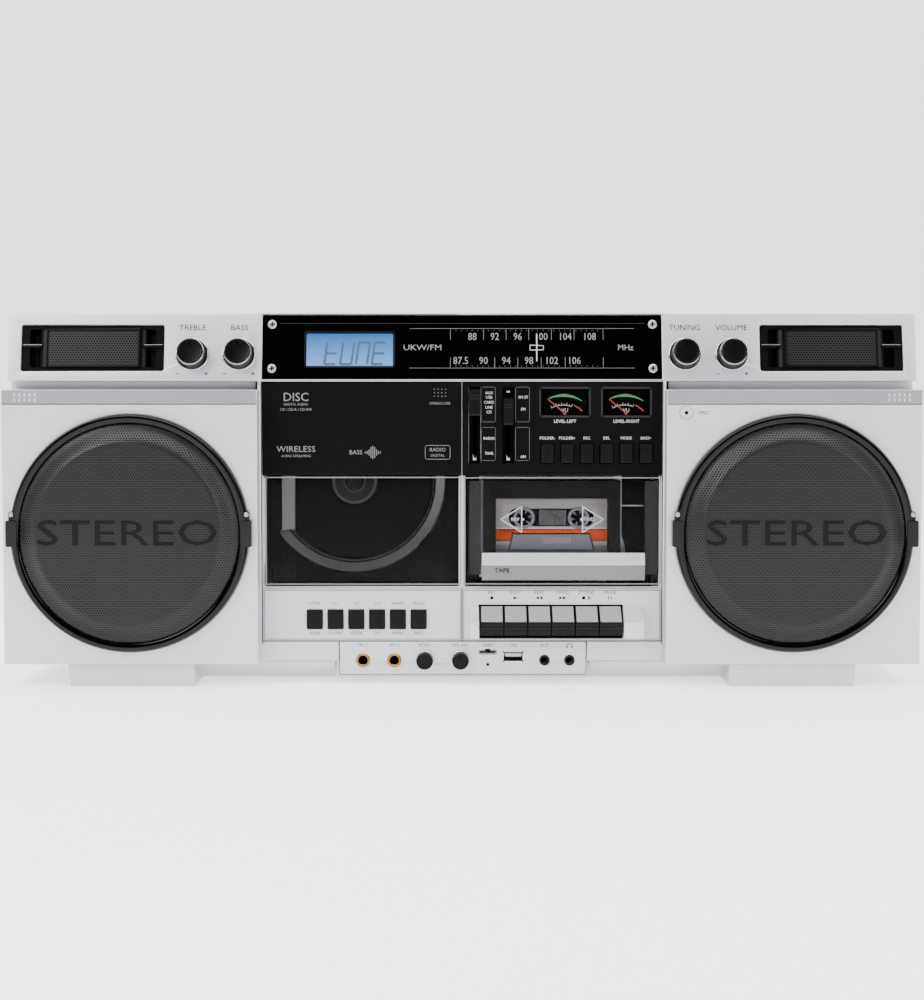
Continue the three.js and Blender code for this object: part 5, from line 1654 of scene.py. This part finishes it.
@dataclass
class JackPanel:
    """The silver strip of sockets and small knobs under the panels."""

    panel: float = 20.0
    up: float = 18.3
    microphones: Pair = (-76.8, -52.5)
    small_knobs: dict[str, float] = field(default_factory=lambda: {"knob_echo": -28.9,
            "knob_mic_volume": -1.2})
    plain_sockets: Pair = (64.0, 83.4)
    usb: tuple[Pair, Pair] = ((32.15, 47.25), (17.65, 24.95))
    card: tuple[Pair, Pair] = ((13.8, 26.2), (23.6, 25.6))

    def build(self) -> None:
        """Builds the strip and its sockets."""
        refined("jack_panel", SILVER, 0.4, "cabinet", "silver_plastic", 2, 3.0)
        for number, x in enumerate(self.microphones):
            ring = Shape().ring(3.3, 5.4, (self.panel - 1.4, self.panel + 0.3), x, self.up, 56)
            ring.piece(f"microphone_socket_{number + 1}", GOLD, "cabinet", "plated")
            bore = Shape().turned([(3.3, self.panel - 0.9), (3.3, self.panel + 8), (0, self.panel + 8),
                    (0, self.panel + 7),
                                   (3.0, self.panel + 7), (3.0, self.panel - 0.9)], x, self.up, 40)
            bore.piece(f"microphone_bore_{number + 1}", DEEP, "cabinet", "black_plastic")
        for number, x in enumerate(self.plain_sockets):
            ring = Shape().ring(2.2, 4.15, (self.panel - 1.0, self.panel + 0.3), x, self.up, 48)
            ring.piece(f"line_socket_{number + 1}", GLOSS_BLACK, "cabinet", "black_plastic")
            bore = Shape().turned([(0, self.panel + 6), (2.3, self.panel + 6), (2.3, self.panel + 7),
                    (0, self.panel + 7)],
                                  x, self.up, 32)
            bore.piece(f"line_bore_{number + 1}", DEEP, "cabinet", "black_plastic")
        for node, x in self.small_knobs.items():
            self.small_knob(node, x)
        edge = Shape().line([(-95.0, 32.4), (-95.0, 7.2), (96.1, 7.2), (96.1, 32.4)], 0.45,
                (self.panel - 0.12, self.panel + 0.2))
        edge.piece("jack_panel_edge", GREY_INK, "cabinet", "silver_plastic")
        self.ports()
        self.prints()

    def small_knob(self, node: str, x: float) -> None:
        """Builds one small knob: a black cap in a dark chrome collar."""
        front_r = span(node, 1)[0]
        cap = Shape().turned([(0, front_r), (5.4, front_r), (6.3, front_r + 0.7), (6.6, front_r + 2.0),
                (6.7, self.panel - 0.2),
                              (0, self.panel - 0.2)], x, self.up, 64)
        cap.piece(f"{node}_cap", SATIN_BLACK, node, "black_plastic", (node,), smooth=30)
        collar = Shape().ring(6.5, 7.5, (self.panel - 2.6, self.panel - 0.2), x, self.up, 64)
        collar.piece(f"{node}_collar", PLATE, node, "plated")
        mark = Shape().box((x - 0.35, x + 0.35), (front_r - 0.1, front_r + 0.3),
                (self.up + 2.2, self.up + 5.0))
        mark.piece(f"{node}_mark", DEEP, node, "black_plastic")

    def ports(self) -> None:
        """Builds the card slot and the USB socket with its tongue and contacts."""
        x, z = self.usb
        shell = Shape().line(rounded(grown(x, 0.3), grown(z, 0.3), 0.6, 3), 0.7,
                (self.panel - 0.5, self.panel + 6), closed=True)
        shell.piece("usb_shell", PLATE, "cabinet", "plated")
        tongue = Shape().box((x[0] + 1.2, x[1] - 1.2), (self.panel + 0.8, self.panel + 8),
                (z[0] + 3.6, z[1] - 1.4))
        tongue.piece("usb_tongue", WHITE_INK, "cabinet", "white_plastic")
        contacts = BATTENS.rows((middle(x), self.panel + 3.4, z[0] + 3.4), (2.6, 0), (4, 1), (1.1, 5.0, 0.3),
                GOLD)
        show("usb_contacts", contacts, GOLD, "cabinet")
        x, z = self.card
        lip = Shape().line(rounded(grown(x, 0.5), grown(z, 0.5), 0.5, 3), 0.5,
                (self.panel - 0.2, self.panel + 0.3), closed=True)
        lip.box((middle(x) - 2.0, middle(x) + 2.0), (self.panel - 0.1, self.panel + 0.2), (z[1], z[1] + 1.6))
        lip.piece("card_slot_lip", DEEP, "cabinet", "black_plastic")
        lamp = Shape().ring(0.9, 1.5, (self.panel - 0.4, self.panel + 0.2), middle(x), 15.0, 32)
        lamp.piece("lamp_ring", ZINC, "cabinet", "plated")
        bulb = Shape().turned([(0, self.panel - 0.5), (0.6, self.panel - 0.4), (0.9, self.panel),
                (0, self.panel + 0.1)],
                              middle(x), 15.0, 24)
        bulb.piece("lamp", DEEP, "cabinet", "black_plastic")

    def prints(self) -> None:
        """Prints the sockets' names."""
        ink = (self.panel - 0.1, self.panel + 0.1)
        words = Shape()
        for text, x in (("MIC 1", -76.8), ("MIC 2", -52.5), ("ECHO", -28.9), ("MIC VOL", -1.2),
                ("CARD", 20.0),
                        ("USB", 39.7), ("AUX", 64.0)):
            words.words(text, x, 30.0, 2.3, ink)
        words.arc(83.4, 29.2, 2.0, (180, 0), (0.6, 0.6), ink, 12)
        for end in (-1, 1):
            words.box((83.4 + end * 2.0 - 0.5, 83.4 + end * 2.0 + 0.5), ink, (27.8, 29.6))
        words.piece("jack_print", BLACK_INK, "cabinet", "silver_plastic")


# ------------------------------------------------------------------ handle and antenna


@dataclass
class HandleAndAntenna:
    """The folding handle behind the case and the telescopic antenna over it."""

    edge: float = 2.2

    def build(self) -> None:
        """Builds both."""
        refined("handle", SILVER, self.edge, "handle", "silver_plastic", 3, 6.0)
        refined("antenna_base", PLATE, 0.4, "antenna_base", "plated", 2, 0.6)
        refined("antenna_mast", PLATE, 0.2, "antenna_mast", "plated", 2, 0.6)
        refined("antenna_tip", PLATE, 0.2, "antenna_tip", "plated", 2, 0.6)


# ------------------------------------------------------------------ studio


@dataclass
class Studio:
    """Floor, sweep, lights and camera."""

    floor: Finish = Finish("matt_white_paper", "#fafafa", 0.9, grain_mm=3.0, bump=0.0, shade=0.01, glow=0.95)
    dim: float = 0.05
    bright: float = 2.2
    eye: Point = (0.0, -1526.0, 220.0)
    pitch: float = 3.02
    lens: float = 68.2

    def build(self) -> None:
        """Sets the whole studio."""
        self.sweep()
        self.light("key", (-1.5, -1.7, 1.6), (0, 0, 0.12), (1.4, 1.2), 66)
        self.light("fill", (1.7, -1.7, 1.0), (0, 0, 0.12), (1.2, 1.4), 30)
        self.light("top", (0.0, -0.2, 1.9), (0, 0, 0.1), (2.6, 1.4), 62)
        self.world()
        self.camera()

    def sweep(self) -> None:
        """Builds the floor, which curves up into a backdrop."""
        profile = [(-4.0, 0.0), (2.2, 0.0)]
        profile += [(2.2 + 1.2 * math.sin(a),
                1.2 * (1 - math.cos(a))) for a in (i * math.pi / 32 for i in range(1, 17))]
        profile.append((3.4, 5.0))
        mesh = bpy.data.meshes.new("studio_sweep")
        points = [(x, y, z) for x in (-6.0, 6.0) for y, z in profile]
        count = len(profile)
        mesh.from_pydata(points, [], [(i, i + count, i + count + 1, i + 1) for i in range(count - 1)])
        mesh.materials.append(self.floor.material())
        mesh.shade_smooth()
        sweep = bpy.data.objects.new("studio_sweep", mesh)
        bpy.context.scene.collection.objects.link(sweep)

    def light(self, name: str, place: Point, target: Point, size: Pair, watts: float) -> None:
        """Hangs one soft box.

        Args:
            name: the light's name.
            place: where it hangs, in metres.
            target: where it points.
            size: width and height in metres.
            watts: its power.
        """
        data = bpy.data.lights.new(name, "AREA")
        data.shape = "RECTANGLE"
        data.size, data.size_y = size
        data.energy = watts
        lamp = bpy.data.objects.new(name, data)
        lamp.location = place
        lamp.rotation_euler = (Vector(target) - Vector(place)).to_track_quat("-Z", "Y").to_euler()
        bpy.context.scene.collection.objects.link(lamp)

    def world(self) -> None:
        """Sets a surround that is white behind the player and dim on the photographer's side."""
        surround = bpy.data.worlds.new("studio")
        surround.use_nodes = True
        tree = surround.node_tree
        tree.nodes.clear()
        toward = add_node(tree, "ShaderNodeTexCoord").outputs["Generated"]
        rearward = add_node(tree, "ShaderNodeSeparateXYZ", links={0: toward}).outputs["Y"]
        level = add_node(tree, "ShaderNodeMapRange", {"From Min": -0.75, "From Max": 0.3, "To Min": self.dim,
                                                      "To Max": self.bright}, {"Value": rearward})
        light = add_node(tree, "ShaderNodeBackground", {"Color": linear("#ffffff")},
                {"Strength": level.outputs[0]})
        add_node(tree, "ShaderNodeOutputWorld", links={"Surface": light.outputs[0]})
        bpy.context.scene.world = surround

    def camera(self) -> None:
        """Sets the camera as the photograph's."""
        data = bpy.data.cameras.new("camera")
        data.lens = self.lens
        camera = bpy.data.objects.new("camera", data)
        camera.location = world(*self.eye)
        camera.rotation_euler = (math.radians(90 - self.pitch), 0, 0)
        bpy.context.scene.collection.objects.link(camera)
        bpy.context.scene.camera = camera


def main() -> None:
    """Builds every assembly."""
    assemblies = [
        Cabinet(), *(Speaker(side) for side in Side), *(Tweeter(side) for side in Side), Console(),
        Knob("knob_treble", "TREBLE", -208.3), Knob("knob_bass", "BASS", -172.1),
        Knob("knob_tuning", "TUNING", 172.1, marks=False), Knob("knob_volume", "VOLUME", 208.3),
        DiscBay(), ControlPanel(), TapeBay(), LowerPanels(), JackPanel(), HandleAndAntenna(), Studio()]
    for assembly in assemblies:
        assembly.build()
        log.info("%s built", type(assembly).__name__)


if __name__ == "__main__":
    main()
